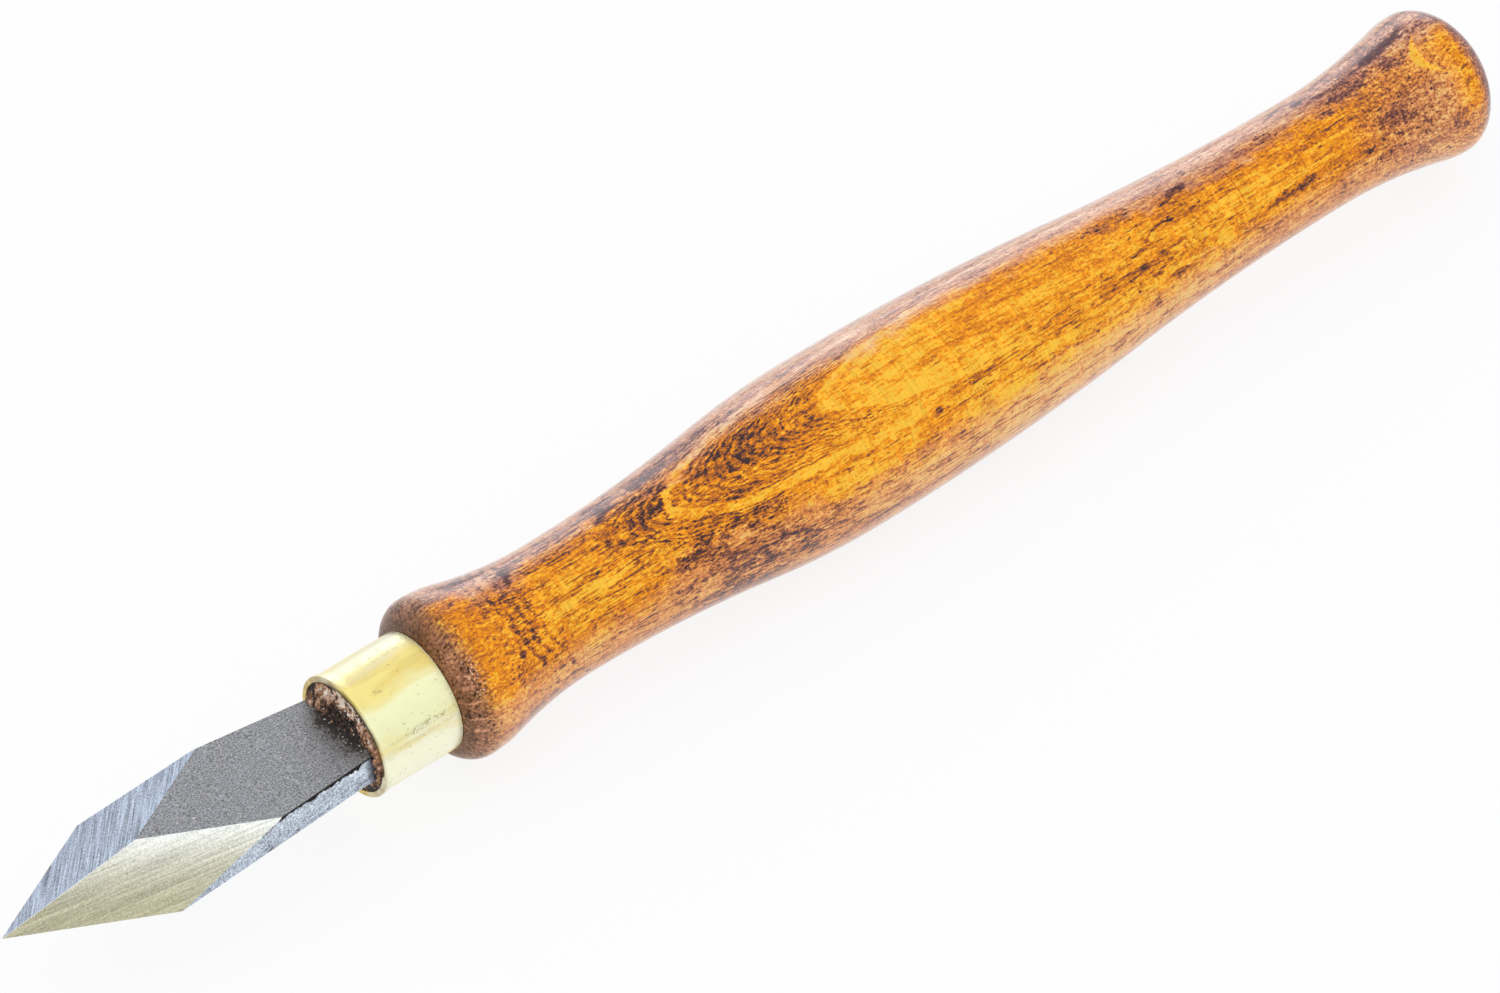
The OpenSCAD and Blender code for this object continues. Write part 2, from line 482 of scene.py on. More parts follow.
@dataclass(frozen=True)
class BeechFinish:
    """Amber stain under clear lacquer, on beech whose rings are cut at a shallow angle.

    Places along the axis are in mm, angles round it in degrees, patterns in cells per mm and the height of
    bumps in metres.
    """

    amber: tuple[Colour, ...] = (
        paint(64, 42, 42), paint(114, 68, 50), paint(168, 92, 34),
        paint(219, 125, 24), paint(252, 159, 14), paint(255, 198, 58),
    )
    # Pale pink tones: painted reflections in the lacquer high and low, and pink wood on the bulb and the butt
    reflection_and_pink_tones: tuple[Colour, ...] = (
        paint(92, 55, 60), paint(126, 82, 82), paint(162, 110, 100),
        paint(198, 146, 124), paint(218, 174, 151), paint(231, 206, 191),
    )
    dusty: Colour = paint(146, 102, 78)
    # The colour of the painted glints on the nose
    painted_glint: Colour = paint(250, 206, 178)

    # How light the plain wood is and how dense its flecks are, and how much each random layer changes that
    base_tone: float = 0.75
    cloud_tone: float = 0.4
    streak_tone: float = 0.95
    fibre_tone: float = 1.0
    base_density: float = 0.2
    long_density: float = 0.05
    density_wander: float = 1.3

    # The nested rings: the angle of their middle, how much they bend before and behind the handle's middle,
    # the tip, edges and sides of the bright one, and the pitch, the range and the sides of the dark arcs
    ring_angle: float = 112.0
    ring_bend: Slope = (-8.0, 6.0, 0.43, 0.62)
    ring_wander: float = 2.8
    ring_tip: float = -13.4
    ring_edge: Range = (0.66, 0.32)
    ring_sides: Range = (7.4, 4.6)
    ring_tone: float = 0.24
    ring_flecks: float = -0.9
    ring_pitch: float = 1.4
    arcs: Span = (-23.0, -18.5, 3.5, 5.4)
    arc_sides: Range = (6.6, 4.6)
    arc_tone: float = 0.05
    arc_flecks: float = -0.55
    # How far the dark arcs stray, and the dark swirls between them
    drift: float = 1.8
    drift_cells: Range = (0.9, 0.8)
    swirl: Range = (0.54, 0.6)
    swirl_cells: Range = (2.7, 1.7)
    swirl_tone: float = -0.26
    # The pale lobe inside the rings: its tip and edge, where it fades, how light it is, and its soft bands
    lobe_tip: float = 5.7
    lobe_edge: Range = (-0.4, 0.3)
    lobe_fades: Range = (46.0, 20.0)
    lobe_tone: Slope = (32.0, 16.0, 0.08, 0.2)
    lobe_flecks: float = -0.7
    lobe_first: float = 0.9
    lobe_pitch: float = 3.6
    lobe_bands: Range = (22.0, 12.0)
    lobe_band_tone: float = 0.07
    # The row of fleck bands at the waist
    waist_bend: float = -0.03
    waist_wander: float = 2.0
    waist_pitch: float = 1.5
    waist_flecks: float = -0.55
    waist_bands: Span = (-37.6, -36.0, -32.4, -30.6)
    # Past these places the form curves in, so that the grain is cut shorter
    grain_front: float = -38.0
    grain_rear: float = 77.0
    grain_shortens: float = 1.4

    cloud: Triple = (0.05, 0.16, 0.16)
    mottle: Triple = (0.35, 0.7, 0.7)
    streaks: Triple = (0.10, 1.3, 1.3)
    fibres: Triple = (0.75, 4.5, 4.5)
    dust: Triple = (2.6, 3.4, 3.4)
    clumps: Triple = (0.34, 0.62, 0.62)
    clumping: Slope = (0.42, 0.59, 0.62, 1.5)
    curls: Triple = (3.0, 0.7, 0.7)
    long_flecks: Triple = (0.28, 4.2, 4.2)
    broad_flecks: Triple = (1.3, 3.6, 3.6)
    fine_flecks: Triple = (2.6, 6.0, 6.0)
    long_depth: float = -0.42
    broad_depth: float = -0.30
    fine_depth: float = -0.28
    fleck_limit: float = 0.655
    fleck_gain: float = -0.15
    fleck_edge: Range = (-0.01, 0.024)
    bends: Triple = (1.6, 3.0, 3.0)
    dashes: Triple = (0.95, 2.5, 2.5)
    dash_bend: float = 1.1
    dash_gain: float = 0.75
    dash_start: float = -0.12
    dash_radius: float = 0.5
    dash_depth: float = -0.44
    patch_wander: float = 3.5
    lathe_lines: Triple = (4.5, 0.12, 0.12)
    lathe_height: float = 0.010 * MM
    lathe_contrast: float = 0.8

    # Pink: painted reflections high up, wider at the neck and the rear, and low down; pink wood on the bulb
    pink_wander: float = 45.0
    upper_painted_reflection: Slope = (101.0, 73.0, 0.0, 0.78)
    upper_end: Range = (10.0, 32.0)
    neck_widens: Span = (-39.0, -36.0, -32.0, -29.0)
    neck_angle: float = 12.0
    rear_widens: Slope = (40.0, 56.0, 0.0, 15.0)
    lower_painted_reflection: Slope = (158.0, 184.0, 0.0, 0.28)
    lower_end: Range = (246.0, 222.0)
    belly_widens: Span = (-20.0, -14.0, -3.0, 3.0)
    belly_angle: float = 14.0
    bulb_share: float = 0.36
    bulb_pink: Span = (74.0, 83.0, 86.5, 90.5)
    bulb_golden: Span = (102.0, 108.0, 126.0, 140.0)
    golden_share: float = -0.5
    butt_pink: Slope = (90.6, 92.2, 0.0, 0.6)
    crescent_golden: float = -0.85

    # The bulb's pale crescent, the rim before the end grain, and the pale curls across the grain
    crescent_x: float = 86.4
    crescent_angle: float = 114.0
    crescent_half: float = 0.62
    crescent_reach: float = 22.0
    crescent_bend: float = 0.004
    crescent_edge: Range = (-0.05, 0.22)
    crescent_tone: float = 0.34
    rim: Span = (88.0, 90.0, 90.8, 92.0)
    rim_flecks: float = -0.7
    curled: Span = (69.0, 76.0, 84.0, 89.0)
    curl: Range = (0.57, 0.66)
    curl_tone: float = 0.16
    end_grain: Range = (90.6, 92.4)
    end_grain_tone: float = -0.42

    # The raw, dusty front of the shoulder: rays on the lower side, painted shade, sheen and glints
    nose: Range = (-39.9, -42.3)
    nose_share: float = 0.93
    nose_wander: float = 1.0
    nose_dust: float = 3.2
    nose_grain: float = 4.6
    nose_mottle: float = 1.8
    # Painted shadow beside the ferrule, painted shade above and below, and a painted sheen near 136 degrees
    painted_shadow_by_ferrule: Slope = (-43.4, -42.6, 0.6, 1.0)
    upper_painted_shade_and_sheen: Slope = (88.0, 136.0, 0.68, 1.2)
    lower_painted_shade: Slope = (144.0, 168.0, 1.0, 0.82)
    ray_wander: float = 14.0
    ray_tones: Slope = (0.8, 0.97, -0.16, 1.1)
    ray_starts: Range = (-41.5, -42.1)
    ray_pitch: float = 12.5
    rays: Span = (146.0, 154.0, 186.0, 196.0)
    # Painted glints on the nose: their pattern, size and patch
    painted_glint_cells: Triple = (3.6, 3.6, 3.6)
    painted_glint_radius: float = 0.42
    painted_glint_patch: Patch = Patch(-41.4, 144.0, 1.3, 20.0, 0.7, 0.9, 0.4, 0.9)
    # Where the lacquer is worn thin, and how much of it is missing there and on the raw front
    thin_coat: Span = (82.0, 98.0, 162.0, 184.0)
    thin_share: float = -0.62
    raw_share: float = -0.6

    shoulder_patches: tuple[Patch, ...] = (
        Patch(-39.2, 116, 3, 40, -0.1, -0.3, 0.5),
        Patch(-37, 76, 7, 18, -0.18, 0.3, 0.9),
        Patch(-34.2, 112, 4, 46, -0.09, 0.3, 0.7),
        Patch(-34, 154, 4.5, 16, -0.08, 0.25, 0.7),
        Patch(-34, 104, 4.5, 20, -0.1, 0, 0.8),
    )
    waist_patches: tuple[Patch, ...] = (
        Patch(-25.5, 137, 4.6, 7, 0.16, -0.5, 0.4, 0.4),
        Patch(-23.5, 119, 6, 6, 0.12, -0.35, 0.6),
        Patch(-26, 150, 7.5, 28, 0.14, 0.1, 0.9, 0.8),
        Patch(-26, 134, 7, 9, 0.07, 0, 0.9, 0.8),
        Patch(-26, 94, 8, 9, -0.1, 0.25, 0.9),
        Patch(-25, 74, 14, 10, -0.15, 0.25, 0.7),
    )
    ring_patches: tuple[Patch, ...] = (
        Patch(-17.2, 99, 4.4, 26, -0.23, 0.7, 0.9),
        Patch(-16.8, 139, 4, 14, 0.05, 0.45, 0.9),
        Patch(-16.5, 157, 5, 13, 0.02, 0.45, 0.9),
        Patch(-11, 72, 10, 13, -0.22, 0.6, 1.1),
        Patch(-9, 149, 9, 21, 0, 0.6, 0.6),
        Patch(-7, 112, 8, 26, -0.03, 0, 0.9),
        Patch(-7, 135, 6.5, 9, -0.13, 0, 0.9, 0.8),
    )
    lower_patches: tuple[Patch, ...] = (
        # Painted light: this lighter patch low down lifts the dim lower side
        Patch(-26, 181, 9, 14, 0.12, 0, 0.9, 0.8),
        Patch(-34, 208, 5, 12, -0.1, 0.1, 0.9),
        Patch(56, 207, 12, 14, -0.14, 0.2, 1.1),
        Patch(-6, 184, 15, 26, -0.05, 0.55, 0.6),
        Patch(-8, 210, 12, 16, -0.14, 0.35, 0.7),
    )
    belly_patches: tuple[Patch, ...] = (
        Patch(-5, 107, 9, 23, -0.11, 0.5, 0.6),
        # Painted light: this broad lighter patch low down lifts the dim lower side
        Patch(30, 188, 44, 32, 0.23, -0.1, 0.9, 0.8),
        Patch(16, 139, 13, 15, 0.09, -0.45, 0.9, 0.8),
        Patch(34, 156, 32, 12, 0.07, 0, 0.9, 0.8),
        Patch(52.5, 142, 8, 20, 0.09, 0, 0.9, 0.8),
        Patch(10.6, 110, 1.3, 3.4, -0.16, 0, 0.3),
        Patch(22, 109.5, 11, 3.4, -0.13, 0, 0.4),
        Patch(16.9, 152, 0.7, 3, -0.5, 0, 0.5),
        Patch(30, 163.5, 1.6, 1.6, -0.4, 0, 0.6),
        Patch(36, 82, 10, 7, -0.12, 0.1, 0.9),
    )
    taper_patches: tuple[Patch, ...] = (
        Patch(46, 96, 3.4, 10, -0.14, 0.5, 1.4),
        Patch(54.5, 99, 3, 5, -0.14, 0.3, 1.3),
        Patch(61, 132, 10, 15, 0.09, -0.2, 0.7),
        Patch(60.6, 124, 0.16, 32, -0.22, 0, 0.2),
        Patch(65, 102, 9, 26, -0.15, 0.1, 1.1),
        Patch(66, 73, 6, 9, -0.12, 0, 0.9),
        Patch(40, 55, 21, 8, -0.14, 0, 0.9),
        Patch(68.9, 134, 0.14, 16, -0.18, 0, 0.2),
        Patch(67.5, 157, 5.4, 6.5, -0.24, 0.4, 1.4),
        Patch(75, 166, 2.2, 6, -0.2, 0.3, 1.4),
    )
    bulb_patches: tuple[Patch, ...] = (
        Patch(81, 146, 2.2, 8, -0.18, 0.35, 1.4),
        Patch(79, 93, 11, 16, -0.28, 0.2, 0.9),
        Patch(81, 76, 10, 17, -0.4, 0.1, 0.9),
        Patch(80, 192, 9, 32, -0.1, 0.1, 1.1),
        Patch(82.5, 142, 8, 70, -0.12, 0.2, 0.9),
        Patch(90, 78, 3.6, 28, -0.22, 0.1, 0.6),
        Patch(90.5, 192, 3.6, 34, -0.12, 0.1, 0.6),
    )
    back_patches: tuple[Patch, ...] = (
        Patch(-24, 250, 16, 22, -0.12, 0.3, 1.1),
        Patch(26, 262, 24, 14, -0.08, 0.25, 1.1),
        Patch(56, 240, 12, 16, -0.1, 0.3, 1.2),
        Patch(-10, 8, 18, 20, -0.12, 0.35, 1.2),
        Patch(34, -14, 20, 18, -0.1, 0.3, 1.2),
        Patch(66, 22, 12, 12, -0.14, 0.3, 1.2),
    )
    long_streaks: tuple[Patch, ...] = (
        Patch(-26, 122, 12, 52, 0, 0.62, 0.6),
        Patch(10, 192, 75, 30, 0, 0.6, 0.6),
        Patch(38, 148, 28, 18, 0, 0.6, 0.6),
        Patch(15, 138, 12, 14, 0, -0.3, 0.9),
        Patch(0, 78, 60, 14, 0, 0.6, 0.6),
        Patch(20, 262, 70, 26, 0, 0.5, 0.6),
        Patch(20, -14, 70, 40, 0, 0.5, 0.6),
    )
    veins: tuple[Vein, ...] = (
        Vein(43.5, 53.4, 142, -2, 0.6, -0.34),
        Vein(47.2, 52.6, 121.5, -7, 1.6, -0.46),
        Vein(51.5, 56.2, 102, -4, 1.8, -0.46, 0.24),
        Vein(48.6, 51.6, 162, 0, 0.6, -0.36),
        Vein(44, 48.8, 132, 3, 1.2, -0.3),
    )

    vein_waves: float = 1.2
    vein_wander: float = 14.0
    vein_edge: Range = (1.6, 0.6)
    vein_ends: Span = (-0.05, 0.15, 0.85, 1.05)

    @property
    def patches(self) -> tuple[Patch, ...]:
        """All patches in the order in which they are laid.

        Returns:
            The patches, from the shoulder to the bulb, and then those of the back.
        """
        return (
            *self.shoulder_patches, *self.waist_patches, *self.ring_patches, *self.lower_patches,
            *self.belly_patches, *self.taper_patches, *self.bulb_patches, *self.back_patches,
        )

    def build(self, effects: SharedEffects) -> Material:
        """Makes the material.

        Args:
            effects: The shared shader groups.

        Returns:
            The lacquered beech.
        """
        material, wire, shader = new_material("lacquered_beech")
        figure = BeechFigure(wire, effects, self)
        figure.add_patches()
        figure.add_rings()
        figure.add_waist_bands()
        figure.add_lobe()
        crescent = figure.add_bulb()
        figure.add_flecks()
        figure.add_veins()
        step = 1 / (len(self.amber) - 1)
        colour = wire.ramp(figure.tone, [(step * i, shade) for i, shade in enumerate(self.amber)])
        # The pink tones are painted reflections on the upper and lower bands, and pink wood on the bulb and
        # butt
        reflection_and_pink_colour = wire.ramp(figure.tone, [(step * i, shade) for i, shade in enumerate(self.reflection_and_pink_tones)])
        colour = wire.blend(figure.reflection_and_pink_share(crescent), colour, reflection_and_pink_colour)
        colour, nose = figure.dusty_front(colour)
        turned = wire.group(effects.lines, {
            "Place": figure.place, "Stretch": self.lathe_lines, "Height": self.lathe_height
        })
        hoops = wire.times_add(wire.centred(turned.outputs["Value"]), self.lathe_contrast, 1.0)
        wire.feed(shader.inputs["Base Color"], wire.shade(colour, hoops))
        wire.feed(shader.inputs["Normal"], turned.outputs["Normal"])
        coat = wire.times_add(wire.band(figure.angle, self.thin_coat), self.thin_share, 1.0)
        coat = wire.times(coat, wire.times_add(nose, self.raw_share, 1.0))
        wire.feed(shader.inputs["Coat Weight"], coat)
        set_shader(
            shader, roughness=0.55, specular_ior_level=0.0, coat_roughness=0.12, coat_ior=1.5,
            sheen_weight=0.5, sheen_roughness=0.3,
        )
        return material


class BeechFigure:
    """The wood's figure while it is drawn: its lightness, and the density of its dark flecks."""

    def __init__(self, wire: Wiring, effects: SharedEffects, look: BeechFinish) -> None:
        """Finds the places and random values that the features share, and draws the plain grain.

        Args:
            wire: The material's wiring.
            effects: The shared shader groups.
            look: The finish, which says where each feature lies.
        """
        self.wire, self.effects, self.look = wire, effects, look
        self.place = wire.place_mm()
        self.x, y, z = wire.split(self.place)
        turn = math.radians(look.ring_angle)
        outward = wire.dot(self.place, (0.0, math.cos(turn), math.sin(turn)))
        across = wire.dot(self.place, (0.0, -math.sin(turn), math.cos(turn)))
        swing = wire.math("ARCTAN2", across, outward)
        self.radius = wire.math("SQRT", wire.times_add(y, y, wire.times(z, z)))
        self.arc = wire.times(self.radius, swing)
        self.angle = wire.times_add(swing, 180 / math.pi, look.ring_angle)
        self.flat = wire.join(self.x, self.angle, 0.0)

        cloud = wire.noise(wire.stretch(self.place, look.cloud))
        mottle = wire.noise(wire.stretch(self.place, look.mottle), detail=3.0, roughness=0.6)
        dust = wire.noise(wire.stretch(self.place, look.dust), roughness=0.65)
        self.ragged = wire.centred(mottle)
        self.dust = wire.centred(dust)
        self.grain = self.shortened_grain()
        streaks = wire.noise(wire.stretch(self.grain, look.streaks), detail=3.0, roughness=0.6)
        fibres = wire.noise(wire.stretch(self.grain, look.fibres), roughness=0.6)
        speckle = wire.ease(self.x, look.grain_rear - 3.0, look.grain_rear + 6.0, 1.0, 1.6)
        self.tone = wire.times_add(self.dust, speckle, look.base_tone)
        self.lighten(wire.centred(cloud), look.cloud_tone)
        self.lighten(wire.centred(streaks), look.streak_tone)
        self.lighten(wire.centred(fibres), look.fibre_tone)
        self.density = wire.times_add(self.ragged, look.density_wander, look.base_density)
        self.long_density = wire.times_add(self.ragged, look.density_wander, look.long_density)
        self.squared = wire.times(self.arc, self.arc)
        self.bend = wire.ease(self.x, *look.ring_bend)
        level = wire.subtract(self.x, wire.times(self.bend, self.squared))
        self.level = wire.times_add(self.ragged, look.ring_wander, level)

    def lighten(self, mask: Socket, amount: Value) -> None:
        """Makes the wood lighter under a mask, or darker where the amount is below nought."""
        self.tone = self.wire.times_add(mask, amount, self.tone)

    def thicken(self, mask: Socket, amount: float) -> None:
        """Makes the flecks denser under a mask, or sparser where the amount is below nought."""
        self.density = self.wire.times_add(mask, amount, self.density)

    def shortened_grain(self) -> Socket:
        """Finds the place in the grain, which is drawn closer at both ends of the handle.

        Returns:
            The place in mm.
        """
        wire, look = self.wire, self.look
        beyond = wire.math("MAXIMUM", wire.subtract(self.x, look.grain_rear), 0.0)
        before = wire.math("MINIMUM", wire.subtract(self.x, look.grain_front), 0.0)
        shift = wire.times(wire.add(beyond, before), look.grain_shortens)
        return wire.vector("ADD", self.place, wire.join(shift, 0.0, 0.0))

    def add_patches(self) -> None:
        """Lays the patches over the plain grain, and gathers the flecks into clumps."""
        wire = self.wire
        for patch in self.look.patches:
            mask = self.patch_mask(patch)
            self.lighten(mask, patch.change)
            if patch.flecks:
                self.thicken(mask, patch.flecks)
        for patch in self.look.long_streaks:
            self.long_density = wire.times_add(self.patch_mask(patch), patch.flecks, self.long_density)
        clump = wire.noise(wire.stretch(self.grain, self.look.clumps))
        self.density = wire.times(self.density, wire.ease(clump, *self.look.clumping))

    def patch_mask(self, patch: Patch) -> Socket:
        """Finds how much one patch of the figure covers each place.

        Args:
            patch: The patch.

        Returns:
            The mask.
        """
        ragged = self.wire.times(self.ragged, patch.ragged * self.look.patch_wander)
        centre, reach = (patch.along, patch.angle), (patch.length, patch.width)
        return self.effects.patch_mask(self.wire, self.flat, centre, reach, ragged, patch.soft)

    def unrolled(self, along: Socket, cells: Range) -> Socket:
        """Place in a pattern on the unrolled handle.

        Args:
            along: The distance along the handle in mm.
            cells: How many of the pattern's cells lie in a mm along the handle and round it.

        Returns:
            The place.
        """
        wire = self.wire
        return wire.join(wire.times(along, cells[0]), wire.times(self.arc, cells[1]), 0.0)

    def add_rings(self) -> None:
        """Draws the nested rings round the ring angle: a bright ring with dark arcs about it."""
        wire, look = self.wire, self.look
        steep = wire.times(wire.times(self.bend, 2.0), self.arc)
        steep = wire.math("SQRT", wire.times_add(steep, steep, 1.0))
        side = wire.math("ABSOLUTE", self.arc)
        behind = wire.subtract(self.level, look.ring_tip)
        away = wire.math("ABSOLUTE", wire.math("DIVIDE", behind, steep))
        ring = wire.times(wire.ease(away, *look.ring_edge), wire.ease(side, *look.ring_sides))
        self.lighten(ring, look.ring_tone)
        self.thicken(ring, look.ring_flecks)
        drift = wire.centred(wire.noise(self.unrolled(self.x, look.drift_cells)))
        dark_arcs = wire.wave(wire.times_add(drift, look.drift, behind), look.ring_pitch)
        span = wire.times(wire.band(self.level, look.arcs), wire.ease(side, *look.arc_sides))
        self.thicken(wire.times(span, dark_arcs), look.arc_flecks)
        self.lighten(wire.times(span, dark_arcs), look.arc_tone)
        swirl = wire.noise(self.unrolled(self.level, look.swirl_cells), roughness=0.6)
        swirl = wire.ease(swirl, *look.swirl)
        self.lighten(wire.times(swirl, wire.subtract(span, ring, clamp=True)), look.swirl_tone)

    def add_waist_bands(self) -> None:
        """Draws the row of fleck bands across the waist."""
        wire, look = self.wire, self.look
        column = wire.times_add(self.ragged, look.waist_wander, self.x)
        column = wire.times_add(self.squared, look.waist_bend, column)
        bands = wire.times(wire.band(column, look.waist_bands), wire.wave(column, look.waist_pitch))
        self.thicken(bands, look.waist_flecks)

    def add_lobe(self) -> None:
        """Lightens the lobe inside the rings, with soft bands near its tip."""
        wire, look, tip = self.wire, self.look, self.look.lobe_tip
        start, end = look.lobe_edge
        inside = wire.ease(self.level, tip + start, tip + end)
        inside = wire.times(inside, wire.ease(self.x, *look.lobe_fades))
        bands = wire.wave(wire.subtract(self.level, tip + look.lobe_first), look.lobe_pitch)
        bands = wire.times(bands, wire.ease(self.x, *look.lobe_bands))
        light = wire.times_add(bands, look.lobe_band_tone, wire.ease(self.x, *look.lobe_tone))
        self.lighten(inside, light)
        self.thicken(inside, look.lobe_flecks)

    def add_bulb(self) -> Socket:
        """Draws what lies on the bulb: a pale crescent, dark end grain and short pale curls.

        Returns:
            The mask of the crescent.
        """
        wire, look = self.wire, self.look
        off = wire.subtract(self.angle, look.crescent_angle)
        squared = wire.times(off, off)
        middle = wire.times_add(squared, look.crescent_bend, look.crescent_x)
        away = wire.apart(self.x, middle)
        half = wire.times_add(squared, -look.crescent_half / look.crescent_reach ** 2, look.crescent_half)
        crescent = wire.ease(wire.subtract(half, away), *look.crescent_edge)
        self.lighten(crescent, look.crescent_tone)
        self.tone = wire.add(self.tone, wire.ease(self.x, *look.end_grain, 0.0, look.end_grain_tone))
        self.thicken(wire.add(wire.band(self.x, look.rim), crescent), look.rim_flecks)
        curls = wire.noise(wire.stretch(self.place, look.curls), roughness=0.6)
        curls = wire.times(wire.ease(curls, *look.curl), wire.band(self.x, look.curled))
        self.lighten(curls, look.curl_tone)
        return crescent

    def add_flecks(self) -> None:
        """Darkens the pores: short dashes along the grain, more of them where the density is high."""
        wire, look = self.wire, self.look
        for size, depth, share in (
            (look.long_flecks, look.long_depth, self.long_density),
            (look.broad_flecks, look.broad_depth, self.density),
            (look.fine_flecks, look.fine_depth, self.density),
        ):
            limit = wire.times_add(share, look.fleck_gain, look.fleck_limit)
            pattern = wire.noise(wire.stretch(self.grain, size), detail=3.0, roughness=0.6)
            self.lighten(wire.ease(wire.subtract(pattern, limit), *look.fleck_edge), depth)
        bent = wire.centred(wire.noise(wire.stretch(self.grain, look.bends)))
        bent = wire.times(bent, look.dash_bend)
        place = wire.vector("ADD", wire.stretch(self.grain, look.dashes), wire.join(bent, bent, bent))
        share = wire.times_add(self.density, look.dash_gain, look.dash_start)
        dashes, _ = self.effects.spots(wire, place, share, look.dash_radius)
        self.lighten(dashes, look.dash_depth)

    def add_veins(self) -> None:
        """Draws the thin dark lines that wander along the grain."""
        wire, look = self.wire, self.look
        for vein in look.veins:
            share = wire.math("DIVIDE", wire.subtract(self.x, vein.start), vein.end - vein.start)
            sway = wire.math("SINE", wire.times(share, math.tau * look.vein_waves))
            sway = wire.times(sway, vein.sway)
            line = wire.times_add(share, vein.turn, wire.add(sway, vein.angle - vein.turn / 2))
            line = wire.times_add(self.ragged, look.vein_wander, line)
            away = wire.times(wire.apart(self.angle, line), wire.times(self.radius, math.pi / 180))
            outer, inner = look.vein_edge
            narrow = wire.ease(away, vein.half_width * outer, vein.half_width * inner)
            self.lighten(wire.times(narrow, wire.band(share, look.vein_ends)), vein.depth)

    def reflection_and_pink_share(self, crescent: Socket) -> Socket:
        """How pink the wood is: two bands along it are painted reflections, and the bulb and butt are pink
        wood.

        Args:
            crescent: Mask of the pale crescent, which stays golden.

        Returns:
            The share of pink, painted reflection and pink wood alike.
        """
        wire, look = self.wire, self.look
        edge = wire.times_add(self.ragged, look.pink_wander, self.angle)
        wider = wire.band(self.x, look.neck_widens, look.neck_angle)
        wider = wire.add(wider, wire.ease(self.x, *look.rear_widens))
        high = wire.subtract(edge, wider)
        upper = wire.ease(high, *look.upper_painted_reflection)
        upper = wire.times(upper, wire.ease(high, *look.upper_end))
        low = wire.add(edge, wire.band(self.x, look.belly_widens, look.belly_angle))
        lower = wire.ease(low, *look.lower_painted_reflection)
        lower = wire.times(lower, wire.ease(edge, *look.lower_end))
        bulb = wire.band(self.x, look.bulb_pink, look.bulb_share)
        golden = wire.band(self.angle, look.bulb_golden)
        bulb = wire.times(bulb, wire.times_add(golden, look.golden_share, 1.0))
        bulb = wire.math("MAXIMUM", bulb, wire.ease(self.x, *look.butt_pink))
        share = wire.math("MAXIMUM", bulb, wire.math("MAXIMUM", upper, lower))
        return wire.times(share, wire.times_add(crescent, look.crescent_golden, 1.0))

    def dusty_front(self, colour: Socket) -> tuple[Socket, Socket]:
        """Darkens the rounded, raw and dusty front of the shoulder, and paints shade, a sheen and glints on
        it.

        Args:
            colour: Colour of the wood so far.

        Returns:
            The colour with the dusty front, and the mask of that front.
        """
        wire, look = self.wire, self.look
        edge = wire.times_add(self.ragged, look.nose_wander, self.x)
        edge = wire.times_add(self.dust, look.nose_dust, edge)
        nose = wire.times(wire.ease(edge, *look.nose), look.nose_share)
        rays = wire.wave(wire.times_add(self.ragged, look.ray_wander, self.angle), look.ray_pitch)
        rays = wire.ease(rays, *look.ray_tones)
        span = wire.times(wire.band(self.angle, look.rays), wire.ease(self.x, *look.ray_starts))
        shade = wire.times_add(self.dust, look.nose_grain, wire.times_add(rays, span, 1.0))
        shade = wire.times_add(self.ragged, look.nose_mottle, shade)
        # Painted shadow in the gap by the ferrule; painted shade above and below, with a painted sheen near
        # 136 degrees
        shade = wire.times(shade, wire.ease(self.x, *look.painted_shadow_by_ferrule))
        shade = wire.times(shade, wire.ease(self.angle, *look.upper_painted_shade_and_sheen))
        shade = wire.times(shade, wire.ease(self.angle, *look.lower_painted_shade))
        colour = wire.blend(nose, colour, wire.shade(look.dusty, shade))
        # Painted glints: pale specks for light caught on the rounded edge
        patch = look.painted_glint_patch
        share = wire.times(self.patch_mask(patch), patch.flecks)
        place = wire.stretch(self.place, look.painted_glint_cells)
        painted_glint, _ = self.effects.spots(wire, place, share, look.painted_glint_radius)
        return wire.blend(wire.times(painted_glint, patch.change), colour, look.painted_glint), nose


@dataclass(frozen=True)
class BrassStainAndReflection:
    """One soft patch on the brass, a real stain or a painted reflection: where it lies, how strong it is and
    how far in it fades.

    The place is a distance along the axis in mm and an angle round it in degrees.
    """

    along: float
    angle: float
    length: float
    width: float
    share: float
    tint: Colour = paint(160, 150, 88)
    soft: float = 1.0


